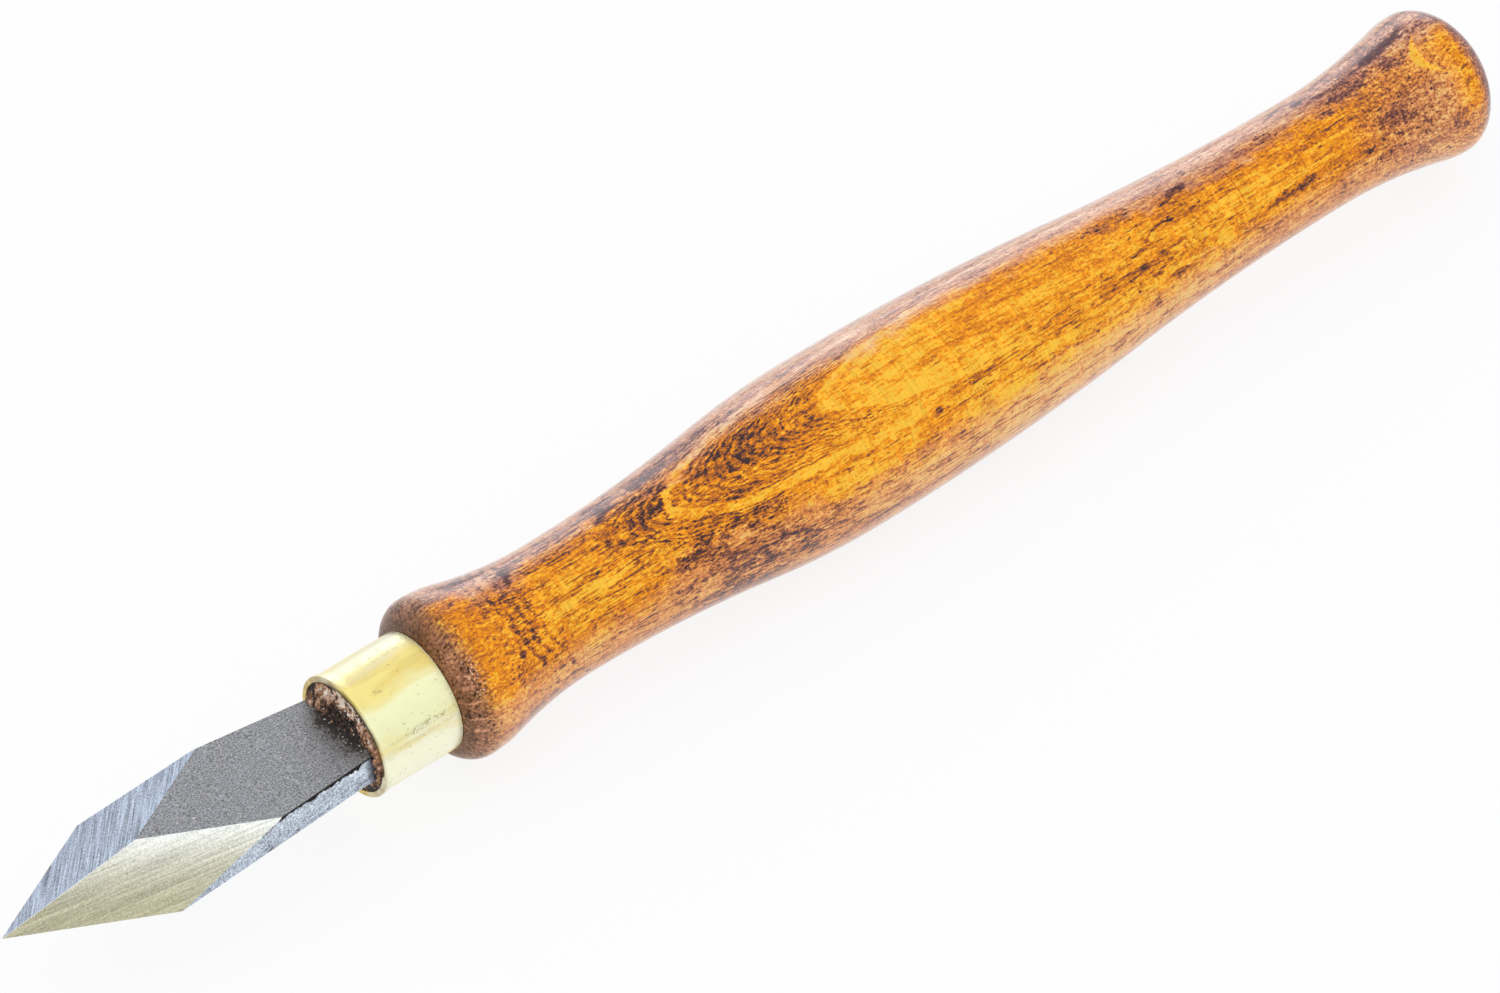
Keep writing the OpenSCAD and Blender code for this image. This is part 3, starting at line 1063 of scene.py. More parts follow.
@dataclass(frozen=True)
class BrassFinish:
    """Drawn brass tube, wiped and slightly tarnished, with painted reflections and a painted highlight on its
    rear edge.

    Patterns are in cells per mm, and the height of bumps in metres.
    """

    clean: Colour = paint(250, 234, 150)
    warm: Colour = paint(240, 217, 128)
    # The painted highlight along the rear edge
    light: Colour = paint(255, 255, 206)
    brown: Colour = paint(150, 118, 66)
    pit: Colour = paint(108, 92, 58)
    # Painted reflections of the lamps and floor as pale bands, and painted shade as a greyer band at 100
    # degrees
    painted_reflections: tuple[BrassStainAndReflection, ...] = (
        BrassStainAndReflection(-48, 35.5, 40, 29, 1, paint(255, 255, 206), 0.6),
        BrassStainAndReflection(-48, -16, 40, 34, 1, paint(255, 254, 226), 0.5),
        BrassStainAndReflection(-48, 114, 40, 38, 1, paint(232, 229, 203)),
        BrassStainAndReflection(-48, 100, 40, 12, 0.8, paint(214, 209, 178)),
        BrassStainAndReflection(-53.3, -38, 1.4, 30, 0.8, paint(232, 229, 203), 0.7),
    )
    stains: tuple[BrassStainAndReflection, ...] = (
        BrassStainAndReflection(-46.8, 18, 8, 4.4, 0.75),
        BrassStainAndReflection(-49, 10, 7, 3.6, 0.4),
        BrassStainAndReflection(-47, 93, 7, 4, 0.55),
        BrassStainAndReflection(-50.4, 64, 1.3, 4, 0.8),
    )
    cloud: Triple = (0.12, 0.5, 0.5)
    mottle: Triple = (1.1, 1.8, 1.8)
    dots: Triple = (3.4, 5.0, 5.0)
    pits: Triple = (2.6, 3.8, 3.8)
    pit_radius: float = 0.34
    drawn_lines: Triple = (0.35, 5.0, 5.0)
    line_height: float = 0.003 * MM
    mouth_x: float = -53.34
    back_x: float = -43.54

    def build(self, effects: SharedEffects) -> Material:
        """Makes the material.

        Args:
            effects: The shared shader groups.

        Returns:
            The brass.
        """
        material, wire, shader = new_material("drawn_brass")
        place = wire.place_mm()
        x, y, z = wire.split(place)
        angle = wire.times(wire.math("ARCTAN2", z, wire.times(y, -1.0)), 180 / math.pi)
        flat = wire.join(x, angle, 0.0)
        cloud = wire.noise(wire.stretch(place, self.cloud), detail=3.0)
        mottle = wire.noise(wire.stretch(place, self.mottle), detail=3.0, roughness=0.65)
        ragged = wire.times(wire.centred(cloud), 1.6)
        dots = wire.noise(wire.stretch(place, self.dots), detail=3.0, roughness=0.7)
        dots = wire.ease(dots, 0.46, 0.6, 0.15, 1.0)
        colour = wire.blend(wire.ease(cloud, 0.36, 0.6), self.warm, self.clean)
        # Painted reflections first, then the real stains, which are speckled
        for stain_and_reflection in (*self.painted_reflections, *self.stains):
            centre, reach = (stain_and_reflection.along, stain_and_reflection.angle), (stain_and_reflection.length, stain_and_reflection.width)
            mask = effects.patch_mask(wire, flat, centre, reach, ragged, stain_and_reflection.soft)
            share = wire.times(dots, stain_and_reflection.share) if stain_and_reflection in self.stains else stain_and_reflection.share
            colour = wire.blend(wire.times(mask, share), colour, stain_and_reflection.tint)
        # Painted highlight: the rear edge turns pale, as if it caught the light
        edge = wire.ease(x, self.back_x - 0.24, self.back_x - 0.1, 0.0, 0.8)
        colour = wire.blend(edge, colour, self.light)
        rim = wire.ease(x, self.mouth_x + 0.3, self.mouth_x + 0.05)
        rim = wire.times(rim, wire.ease(cloud, 0.35, 0.65, 0.25, 0.7))
        colour = wire.blend(rim, colour, self.brown)
        pitted = wire.ease(mottle, 0.53, 0.68, 0.0, 0.9)
        pits, _ = effects.spots(wire, wire.stretch(place, self.pits), pitted, self.pit_radius)
        colour = wire.blend(wire.times(pits, 0.5), colour, self.pit)
        drawn = wire.group(effects.lines, {
            "Place": place, "Stretch": self.drawn_lines, "Height": self.line_height
        })
        wire.feed(shader.inputs["Base Color"], colour)
        wire.feed(shader.inputs["Roughness"], wire.ease(mottle, 0.3, 0.7, 0.28, 0.42))
        # The rear edge is less metallic, part of its painted highlight
        wire.feed(shader.inputs["Metallic"], wire.times_add(edge, -0.8, 1.0))
        wire.feed(shader.inputs["Normal"], drawn.outputs["Normal"])
        return material


@dataclass(frozen=True)
class ForgedFinish:
    """Grey forged skin of the bar, with a burnt crust where it enters the ferrule.

    Patterns are in cells per mm, and the height of bumps in metres.
    """

    skin: Colour = paint(146, 147, 150)
    speck: Colour = paint(236, 234, 230)
    crust: Colour = paint(40, 34, 30)
    tan: Colour = paint(186, 150, 118)
    rust: Colour = paint(92, 80, 72)
    grain: Triple = (5.4, 5.4, 5.4)
    grain_height: float = 0.02 * MM
    grain_contrast: float = 3.9
    mottle: Triple = (0.9, 0.9, 0.9)
    dust: Triple = (3.4, 3.4, 3.4)
    specks: Triple = (3.0, 3.0, 3.0)
    speck_radius: float = 0.36
    # Where the crust begins by the ferrule's mouth, and how far its middle reaches out over the face, in mm
    crust_x: float = -52.84
    crust_bulge: float = -2.3

    def build(self, effects: SharedEffects) -> Material:
        """Makes the material.

        Args:
            effects: The shared shader groups.

        Returns:
            The forged steel.
        """
        material, wire, shader = new_material("forged_skin")
        place = wire.place_mm()
        x, y, _ = wire.split(place)
        grain = wire.group(effects.grain, {
            "Place": wire.stretch(place, self.grain), "Height": self.grain_height,
            "Contrast": self.grain_contrast,
        })
        mottle = wire.noise(wire.stretch(place, self.mottle), detail=4.0, roughness=0.65)
        ragged = wire.centred(mottle)
        dust = wire.centred(wire.noise(wire.stretch(place, self.dust), roughness=0.6))
        colour = wire.shade(self.skin, wire.times_add(ragged, 0.25, grain.outputs["Value"]))
        bulge = wire.times(wire.ease(y, 5.4, 1.5), wire.ease(y, -6.6, -3.4, 0.3, 1.0))
        reach = wire.times_add(bulge, self.crust_bulge, self.crust_x)
        edge = wire.times_add(ragged, 2.6, wire.times_add(dust, 5.5, x))
        rust = wire.ease(edge, wire.subtract(reach, 1.8), wire.add(reach, 0.4))
        crust = wire.ease(edge, wire.subtract(reach, 0.5), wire.add(reach, 0.5))
        colour = wire.blend(wire.times(rust, 0.3), colour, self.rust)
        burnt = wire.shade(self.crust, wire.times_add(dust, 5.0, 1.0))
        colour = wire.blend(wire.times(crust, 0.95), colour, burnt)
        share = wire.between(crust, 0.03, 0.52)
        specks, tones = effects.spots(wire, wire.stretch(place, self.specks), share, self.speck_radius)
        bits = wire.blend(tones, self.tan, self.speck)
        colour = wire.blend(wire.times(specks, 0.92), colour, bits)
        wire.feed(shader.inputs["Base Color"], colour)
        wire.feed(shader.inputs["Metallic"], wire.times_add(crust, -0.7, 0.7))
        wire.feed(shader.inputs["Normal"], grain.outputs["Normal"])
        set_shader(shader, roughness=0.55)
        return material


@dataclass(frozen=True)
class GroundFinish:
    """Steel ground bright, with fine grinding lines along one direction of the piece.

    The colour passes from foot_colour at the ground back to colour at the forged face. Lengths are in mm,
    patterns in cells per mm and the height of bumps in metres.
    """

    name: str
    colour: Colour
    foot_colour: Colour
    along: Vector
    side: Vector
    up: Vector
    foot: float
    rise: float = 3.0
    rise_curve: float = 1.0
    line_length: float = 9.0
    line_pitch: float = 0.22
    line_height: float = 0.004 * MM
    contrast: float = 0.9
    grain: Triple = (4.6, 4.6, 4.6)
    grain_contrast: float = 0.5
    roughness: float = 0.3
    scale: Colour = paint(34, 31, 30)
    scale_depth: float = 0.0
    jags: Triple = (0.7, 0.7, 0.7)
    # The side darkens to this colour over the last mm or two before the ferrule's mouth
    burnt: Colour = paint(52, 48, 60)
    burnt_from: float = 0.0
    darkening_length: float = 1.4

    def build(self, effects: SharedEffects) -> Material:
        """Makes the material.

        Args:
            effects: The shared shader groups.

        Returns:
            The ground steel.
        """
        material, wire, shader = new_material(self.name)
        place = wire.place_mm()
        drawn = wire.join(wire.dot(place, tuple(self.along)), wire.dot(place, tuple(self.side)), 0.0)
        lines = wire.group(effects.lines, {
            "Place": drawn, "Stretch": (1 / self.line_length, 1 / self.line_pitch, 0.0),
            "Height": self.line_height,
        })
        grain = wire.group(effects.grain, {
            "Place": wire.stretch(place, self.grain), "Height": 0.0, "Contrast": self.grain_contrast
        })
        share = wire.subtract(wire.dot(place, tuple(self.up)), self.foot)
        share = wire.math("DIVIDE", share, self.rise, clamp=True)
        # On the near bevel this gradient is a painted reflection of the light across it
        colour = wire.blend(wire.math("POWER", share, self.rise_curve), self.foot_colour, self.colour)
        drawn_tone = wire.centred(lines.outputs["Value"])
        drawn_tone = wire.times_add(drawn_tone, self.contrast, grain.outputs["Value"])
        colour = wire.shade(colour, drawn_tone)
        if self.scale_depth:
            jagged = wire.noise(wire.stretch(place, self.jags), detail=4.0, roughness=0.75)
            depth = wire.times(wire.subtract(1.0, share), self.rise / self.scale_depth)
            depth = wire.times_add(wire.subtract(0.5, jagged), 7.0, depth)
            colour = wire.blend(wire.ease(depth, 1.1, 0.7), colour, self.scale)
        # Darker towards the ferrule's mouth
        if self.burnt_from:
            x = wire.split(place)[0]
            burnt = wire.ease(x, self.burnt_from, self.burnt_from + self.darkening_length, 0.0, 0.95)
            colour = wire.blend(burnt, colour, self.burnt)
        wire.feed(shader.inputs["Base Color"], colour)
        wire.feed(shader.inputs["Normal"], lines.outputs["Normal"])
        set_shader(shader, metallic=1.0, roughness=self.roughness)
        return material


@dataclass(frozen=True)
class BeddingFinish:
    """Hard burnt filler, dark brown with copper and pale crumbs.

    Patterns are in cells per mm, and the height of bumps in metres.
    """

    burnt: Colour = paint(30, 24, 21)
    dark: Colour = paint(58, 44, 36)
    brown: Colour = paint(124, 88, 66)
    copper: Colour = paint(204, 152, 114)
    pale: Colour = paint(246, 236, 222)
    mottle: Triple = (2.1, 2.1, 2.1)
    grain: Triple = (5.0, 5.0, 5.0)
    grain_height: float = 0.06 * MM
    grain_contrast: float = 1.2
    specks: Triple = (3.2, 3.2, 3.2)
    speck_share: float = 0.2
    speck_radius: float = 0.36

    def build(self, effects: SharedEffects) -> Material:
        """Makes the material.

        Args:
            effects: The shared shader groups.

        Returns:
            The bedding.
        """
        material, wire, shader = new_material("burnt_bedding")
        place = wire.place_mm()
        mottle = wire.noise(wire.stretch(place, self.mottle), detail=4.0, roughness=0.75)
        grain = wire.group(effects.grain, {
            "Place": wire.stretch(place, self.grain), "Height": self.grain_height,
            "Contrast": self.grain_contrast,
        })
        tone = wire.node("ShaderNodeAttribute", attribute_name=TONE_NAME).outputs["Fac"]
        value = wire.times_add(mottle, 1.3, wire.times_add(tone, 0.5, -0.22))
        colour = wire.ramp(value, [
            (0.34, self.burnt), (0.48, self.dark), (0.62, self.brown), (0.78, self.copper), (1.0, self.pale)
        ])
        speckled = wire.stretch(place, self.specks)
        specks, _ = effects.spots(wire, speckled, self.speck_share, self.speck_radius)
        colour = wire.blend(wire.times(specks, 0.7), colour, self.pale)
        wire.feed(shader.inputs["Base Color"], wire.shade(colour, grain.outputs["Value"]))
        wire.feed(shader.inputs["Normal"], grain.outputs["Normal"])
        set_shader(shader, roughness=0.7)
        return material


class GeometryTrees:
    """The Geometry Nodes trees that make what is turned and what is scattered."""

    # How near two points of a seam lie that become one, in metres
    merge_distance = 0.002 * MM
    # The least and the most that a crumb is squashed along each axis, and how far its tone strays
    crumb_smallest = (0.7, 0.5, 0.4)
    crumb_largest = (1.3, 1.0, 0.8)
    tone_strays = (-0.45, 0.4)
    full_turn = (math.tau, math.tau, math.tau)

    @staticmethod
    def start(name: str, inputs: dict[str, str]) -> tuple[Tree, Wiring, Mapping[str, Socket]]:
        """Starts a tree with one geometry in and out.

        Args:
            name: The tree's name.
            inputs: Kind of each further input by its name.

        Returns:
            The tree, its wiring, and the sockets that bring its inputs.
        """
        tree = bpy.data.node_groups.new(name, "GeometryNodeTree")
        for socket, kind in {"Geometry": GEOMETRY, **inputs}.items():
            tree.interface.new_socket(socket, in_out="INPUT", socket_type=kind)
        tree.interface.new_socket("Geometry", in_out="OUTPUT", socket_type=GEOMETRY)
        wire = Wiring(tree)
        return tree, wire, wire.node("NodeGroupInput").outputs

    @staticmethod
    def finish(wire: Wiring, shape: Socket, finish: Socket) -> None:
        """Ends a tree with plain geometry in its finish.

        Args:
            wire: The tree's wiring.
            shape: The geometry.
            finish: The material.
        """
        real = wire.node("GeometryNodeRealizeInstances", {0: shape}).outputs[0]
        dressed = wire.node("GeometryNodeSetMaterial", {"Geometry": real, "Material": finish}).outputs[0]
        wire.node("NodeGroupOutput", {0: dressed})

    @staticmethod
    def random_number(wire: Wiring, low: Value, high: Value, seed: Value) -> Socket:
        """Random number between two others."""
        given = {2: low, 3: high, "Seed": seed}
        return wire.node("FunctionNodeRandomValue", given, data_type="FLOAT").outputs[1]

    @staticmethod
    def random_vector(wire: Wiring, low: Triple, high: Triple, seed: int) -> Socket:
        """Random vector between two others, axis by axis."""
        given = {0: low, 1: high, "Seed": seed}
        return wire.node("FunctionNodeRandomValue", given, data_type="FLOAT_VECTOR").outputs[0]

    @classmethod
    def turned_form(cls) -> Tree:
        """Turns a half outline round the X axis, as a lathe does.

        Returns:
            The tree. Its geometry is the points of the outline in order, with the radius as Y.
        """
        tree, wire, given = cls.start("turned_form", {"Sides": WHOLE, "Finish": MATERIAL})
        outline, sides = given["Geometry"], given["Sides"]
        size = wire.node("GeometryNodeAttributeDomainSize", {0: outline}, component="MESH")
        count = size.outputs["Point Count"]
        corners = {"Vertices X": wire.add(sides, 1.0), "Vertices Y": count}
        grid = wire.node("GeometryNodeMeshGrid", corners).outputs["Mesh"]
        index = wire.node("GeometryNodeInputIndex").outputs[0]
        column = wire.math("FLOOR", wire.math("DIVIDE", wire.add(index, 0.5), count))
        row = wire.subtract(index, wire.times(column, count))
        sample = wire.node("GeometryNodeSampleIndex", data_type="FLOAT_VECTOR", domain="POINT")
        wire.feed(sample.inputs["Geometry"], outline)
        wire.feed(sample.inputs["Value"], wire.node("GeometryNodeInputPosition").outputs[0])
        wire.feed(sample.inputs["Index"], row)
        along, radius, _ = wire.split(sample.outputs[0])
        angle = wire.math("DIVIDE", wire.times(column, math.tau), sides)
        across = wire.times(radius, wire.math("COSINE", angle))
        place = wire.join(along, across, wire.times(radius, wire.math("SINE", angle)))
        moved = wire.node("GeometryNodeSetPosition", {"Geometry": grid, "Position": place}).outputs[0]
        seam = {"Geometry": moved, "Distance": cls.merge_distance}
        closed = wire.node("GeometryNodeMergeByDistance", seam).outputs[0]
        smooth = wire.node("GeometryNodeSetShadeSmooth", {"Geometry": closed}).outputs[0]
        cls.finish(wire, smooth, given["Finish"])
        return tree

    @classmethod
    def crumb_scatter(cls) -> Tree:
        """Scatters small broken crumbs over a surface.

        Returns:
            The tree. Each crumb takes its tone from the surface below it, more or less, and the surface's own
            faces are left out of what the tree makes.
        """
        tree, wire, given = cls.start("crumb_scatter", {
            "Density": NUMBER, "Smallest": NUMBER, "Largest": NUMBER, "Seed": WHOLE, "Finish": MATERIAL,
        })
        points = wire.node("GeometryNodeDistributePointsOnFaces", {
            "Mesh": given["Geometry"], "Density": given["Density"], "Seed": given["Seed"]
        })
        crumb = wire.node("GeometryNodeMeshIcoSphere", {"Radius": 1.0, "Subdivisions": 1}).outputs["Mesh"]
        size = cls.random_number(wire, given["Smallest"], given["Largest"], given["Seed"])
        squash = cls.random_vector(wire, cls.crumb_smallest, cls.crumb_largest, 3)
        turn = cls.random_vector(wire, (0.0, 0.0, 0.0), cls.full_turn, 5)
        named = {"Name": TONE_NAME}
        below = wire.node("GeometryNodeInputNamedAttribute", named, data_type="FLOAT").outputs[0]
        tone = cls.random_number(wire, *cls.tone_strays, 9)
        toned = wire.node("GeometryNodeStoreNamedAttribute", {
            "Geometry": points.outputs["Points"], "Name": TONE_NAME
        }, data_type="FLOAT", domain="POINT")
        wire.feed(toned.inputs["Value"], wire.add(below, tone))
        placed = wire.node("GeometryNodeInstanceOnPoints", {
            "Points": toned.outputs[0], "Instance": crumb, "Rotation": turn,
            "Scale": wire.scaled(squash, size),
        }).outputs[0]
        cls.finish(wire, placed, given["Finish"])
        return tree


def mesh_object(
    name: str, verts: Iterable[Sequence[float]], faces: Iterable[Sequence[int]]
) -> Piece:
    """Makes an object from points and faces, at the origin.

    Args:
        name: The object's name.
        verts: Its points in mm.
        faces: The points of each face, by number.

    Returns:
        The object.
    """
    mesh = bpy.data.meshes.new(name)
    mesh.from_pydata([tuple(c * MM for c in v) for v in verts], [], [tuple(f) for f in faces])
    mesh.update()
    thing = bpy.data.objects.new(name, mesh)
    bpy.context.scene.collection.objects.link(thing)
    return thing


def grown(source: Piece, tree: Tree, name: str, **values: Value) -> Piece:
    """Runs a Geometry Nodes tree on an object and keeps the result as a plain mesh.

    Args:
        source: The object that the tree starts from, which is then removed.
        tree: The tree.
        name: The name of the new piece.
        values: The tree's inputs by name, with low lines for spaces.

    Returns:
        The new piece.
    """
    modifier = source.modifiers.new("grow", "NODES")
    modifier.node_group = tree
    sockets = {s.name: s.identifier for s in tree.interface.items_tree if getattr(s, "in_out", "") == "INPUT"}
    for key, value in values.items():
        modifier[sockets[key.replace("_", " ").title()]] = value
    bpy.context.view_layer.update()
    depsgraph = bpy.context.evaluated_depsgraph_get()
    mesh = bpy.data.meshes.new_from_object(
        source.evaluated_get(depsgraph), preserve_all_data_layers=True, depsgraph=depsgraph
    )
    source.modifiers.remove(modifier)
    bpy.data.objects.remove(source)
    mesh.name = name
    piece = bpy.data.objects.new(name, mesh)
    bpy.context.scene.collection.objects.link(piece)
    return piece


def turned(
    outline: Profile, tree: Tree, name: str, sides: int, finish: Material
) -> Piece:
    """Turns an outline round the X axis and dresses what it makes.

    Args:
        outline: Points as distance along the axis and radius, in mm.
        tree: The tree that turns an outline.
        name: The name of the new piece.
        sides: How many sides the turned piece has.
        finish: Its material.

    Returns:
        The new piece.
    """
    source = mesh_object(f"{name}_outline", [(x, r, 0.0) for x, r in outline], [])
    piece = grown(source, tree, name, sides=sides, finish=finish)
    face_outwards(piece)
    return piece


def face_outwards(piece: Piece) -> None:
    """Turns every face of a closed piece outwards.

    Args:
        piece: The piece.
    """
    work = bmesh.new()
    work.from_mesh(piece.data)
    bmesh.ops.recalc_face_normals(work, faces=work.faces)
    work.to_mesh(piece.data)
    work.free()


def arc_points(centre: tuple[float, float], radius: float, start: float, end: float, steps: int) -> Profile:
    """Points along an arc of a profile.

    Args:
        centre: The arc's centre, as distance along the axis and radius, in mm.
        radius: The arc's own radius in mm.
        start: The angle of its first point in degrees.
        end: The angle of its last point in degrees.
        steps: How many steps lead from the first point to the last.

    Returns:
        The points.
    """
    angles = [math.radians(start + (end - start) * i / steps) for i in range(steps + 1)]
    return [(centre[0] + radius * math.cos(a), centre[1] + radius * math.sin(a)) for a in angles]


@dataclass
class HandleWood:
    """The turned beech handle: shoulder, waist, belly, slim rear waist and domed bulb.

    Lengths are in mm. A share says how far along the handle a place lies, and a turn at which share of a
    stretch its two arcs meet.
    """

    length: float = 138.6
    tenon_length: float = 8.6
    tenon_radius: float = 6.15
    hole_radius: float = 3.5
    hole_depth: float = 46.0
    shoulder_radius: float = 9.0
    shoulder_turn: float = 0.25
    waist_radius: float = 7.2
    waist_share: float = 0.1225
    belly_turn: float = 0.635
    belly_radius: float = 9.65
    belly_share: float = 0.3795
    taper_turn: float = 0.535
    rear_waist_radius: float = 6.35
    rear_waist_share: float = 0.849
    bulb_turn: float = 0.84
    bulb_radius: float = 8.2
    shoulder_round: float = 3.0
    butt_round: float = 5.1
    shoulder_x: float = SHOULDER_X
    stretch_steps: int = 44
    round_steps: int = 20
    sides: int = 192

    @staticmethod
    def stretch_radius(share: float, start: float, end: float, turn: float) -> float:
        """Radius along one stretch, which is made of two arcs.

        Args:
            share: How far along the stretch the place lies, from 0 to 1.
            start: The stretch's first radius in mm.
            end: Its last radius in mm.
            turn: The share of the stretch where its arcs meet.

        Returns:
            The radius in mm.
        """
        rise = share * share / turn if share < turn else 1 - (1 - share) ** 2 / (1 - turn)
        return start + (end - start) * rise

    def outline(self) -> Profile:
        """Half outline from the bottom of the tang's hole, round the tenon and back to the butt.

        Returns:
            Points as distance along the axis and radius, in mm.
        """
        tenon_x = -self.tenon_length
        points = [(tenon_x + self.hole_depth, 0.0), (tenon_x + self.hole_depth, self.hole_radius)]
        points += [(tenon_x, self.hole_radius), (tenon_x, self.tenon_radius)]
        quarter = [math.pi / 2 * i / self.round_steps for i in range(self.round_steps + 1)]
        rise = self.shoulder_radius - self.tenon_radius
        for a in quarter:
            points.append((self.shoulder_round * (1 - math.cos(a)), self.tenon_radius + rise * math.sin(a)))
        bulb_x = self.length - self.butt_round
        stations = (
            (self.shoulder_round, self.shoulder_radius, self.shoulder_turn),
            (self.length * self.waist_share, self.waist_radius, self.belly_turn),
            (self.length * self.belly_share, self.belly_radius, self.taper_turn),
            (self.length * self.rear_waist_share, self.rear_waist_radius, self.bulb_turn),
            (bulb_x, self.bulb_radius, 0.0),
        )
        for (x0, r0, turn), (x1, r1, _) in zip(stations, stations[1:]):
            for i in range(1, self.stretch_steps + 1):
                share = i / self.stretch_steps
                points.append((x0 + (x1 - x0) * share, self.stretch_radius(share, r0, r1, turn)))
        for a in quarter[1:-1]:
            points.append((bulb_x + self.butt_round * math.sin(a), self.bulb_radius * math.cos(a)))
        points.append((self.length, 0.0))
        return [(self.shoulder_x + x, r) for x, r in points]

    def build(self, tree: Tree, finish: Material) -> Piece:
        """Turns the handle and dresses it.

        Args:
            tree: The tree that turns an outline.
            finish: The lacquered beech.

        Returns:
            The handle, which stands for the CAD handle.
        """
        piece = turned(self.outline(), tree, "beech_handle", self.sides, finish)
        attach(piece, "root")
        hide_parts("handle")
        return piece


@dataclass
class FerruleTube:
    """The brass ferrule: a thin drawn tube whose mouth is turned out to a small lip. Lengths are in mm."""

    radius: float = 6.65
    wall: float = 0.5
    length: float = 9.8
    lip: float = 0.15
    lip_round: float = 0.2
    flare: float = 1.5
    edge: float = 0.12
    mouth_x: float = MOUTH_X
    edge_steps: int = 6
    lip_steps: int = 8
    flare_steps: int = 14
    sides: int = 160

    def outline(self) -> Profile:
        """Closed outline of the wall, from the mouth's inner edge round the outside and back.

        Returns:
            Points as distance along the axis and radius, in mm.
        """
        inner = self.radius - self.wall
        top = self.radius + self.lip
        edge, lip = self.edge, self.lip_round
        points = arc_points((edge, inner + edge), edge, 270, 180, self.edge_steps)
        points += arc_points((lip, top - lip), lip, 180, 90, self.lip_steps)
        for i in range(1, self.flare_steps + 1):
            share = i / self.flare_steps
            fall = 0.5 + 0.5 * math.cos(math.pi * share)
            points.append((lip + (self.flare - lip) * share, self.radius + self.lip * fall))
        points += arc_points((self.length - edge, self.radius - edge), edge, 90, 0, self.edge_steps)
        points += [(self.length, inner), (self.length / 2, inner), points[0]]
        return [(self.mouth_x + x, r) for x, r in points]

    def build(self, tree: Tree, finish: Material) -> Piece:
        """Turns the ferrule and dresses it.

        Args:
            tree: The tree that turns an outline.
            finish: The brass.

        Returns:
            The ferrule, which stands for the CAD ferrule.
        """
        piece = turned(self.outline(), tree, "brass_ferrule", self.sides, finish)
        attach(piece, "root")
        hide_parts("ferrule")
        return piece


class Surface(Enum):
    """The differently finished surfaces of the blade, in the order of its material slots."""

    FACE = 0
    NEAR_BEVEL = 1
    FAR_BEVEL = 2
    SIDE = 3
    BACK = 4
    DARK_EDGE = 5
    BRIGHT_EDGE = 6


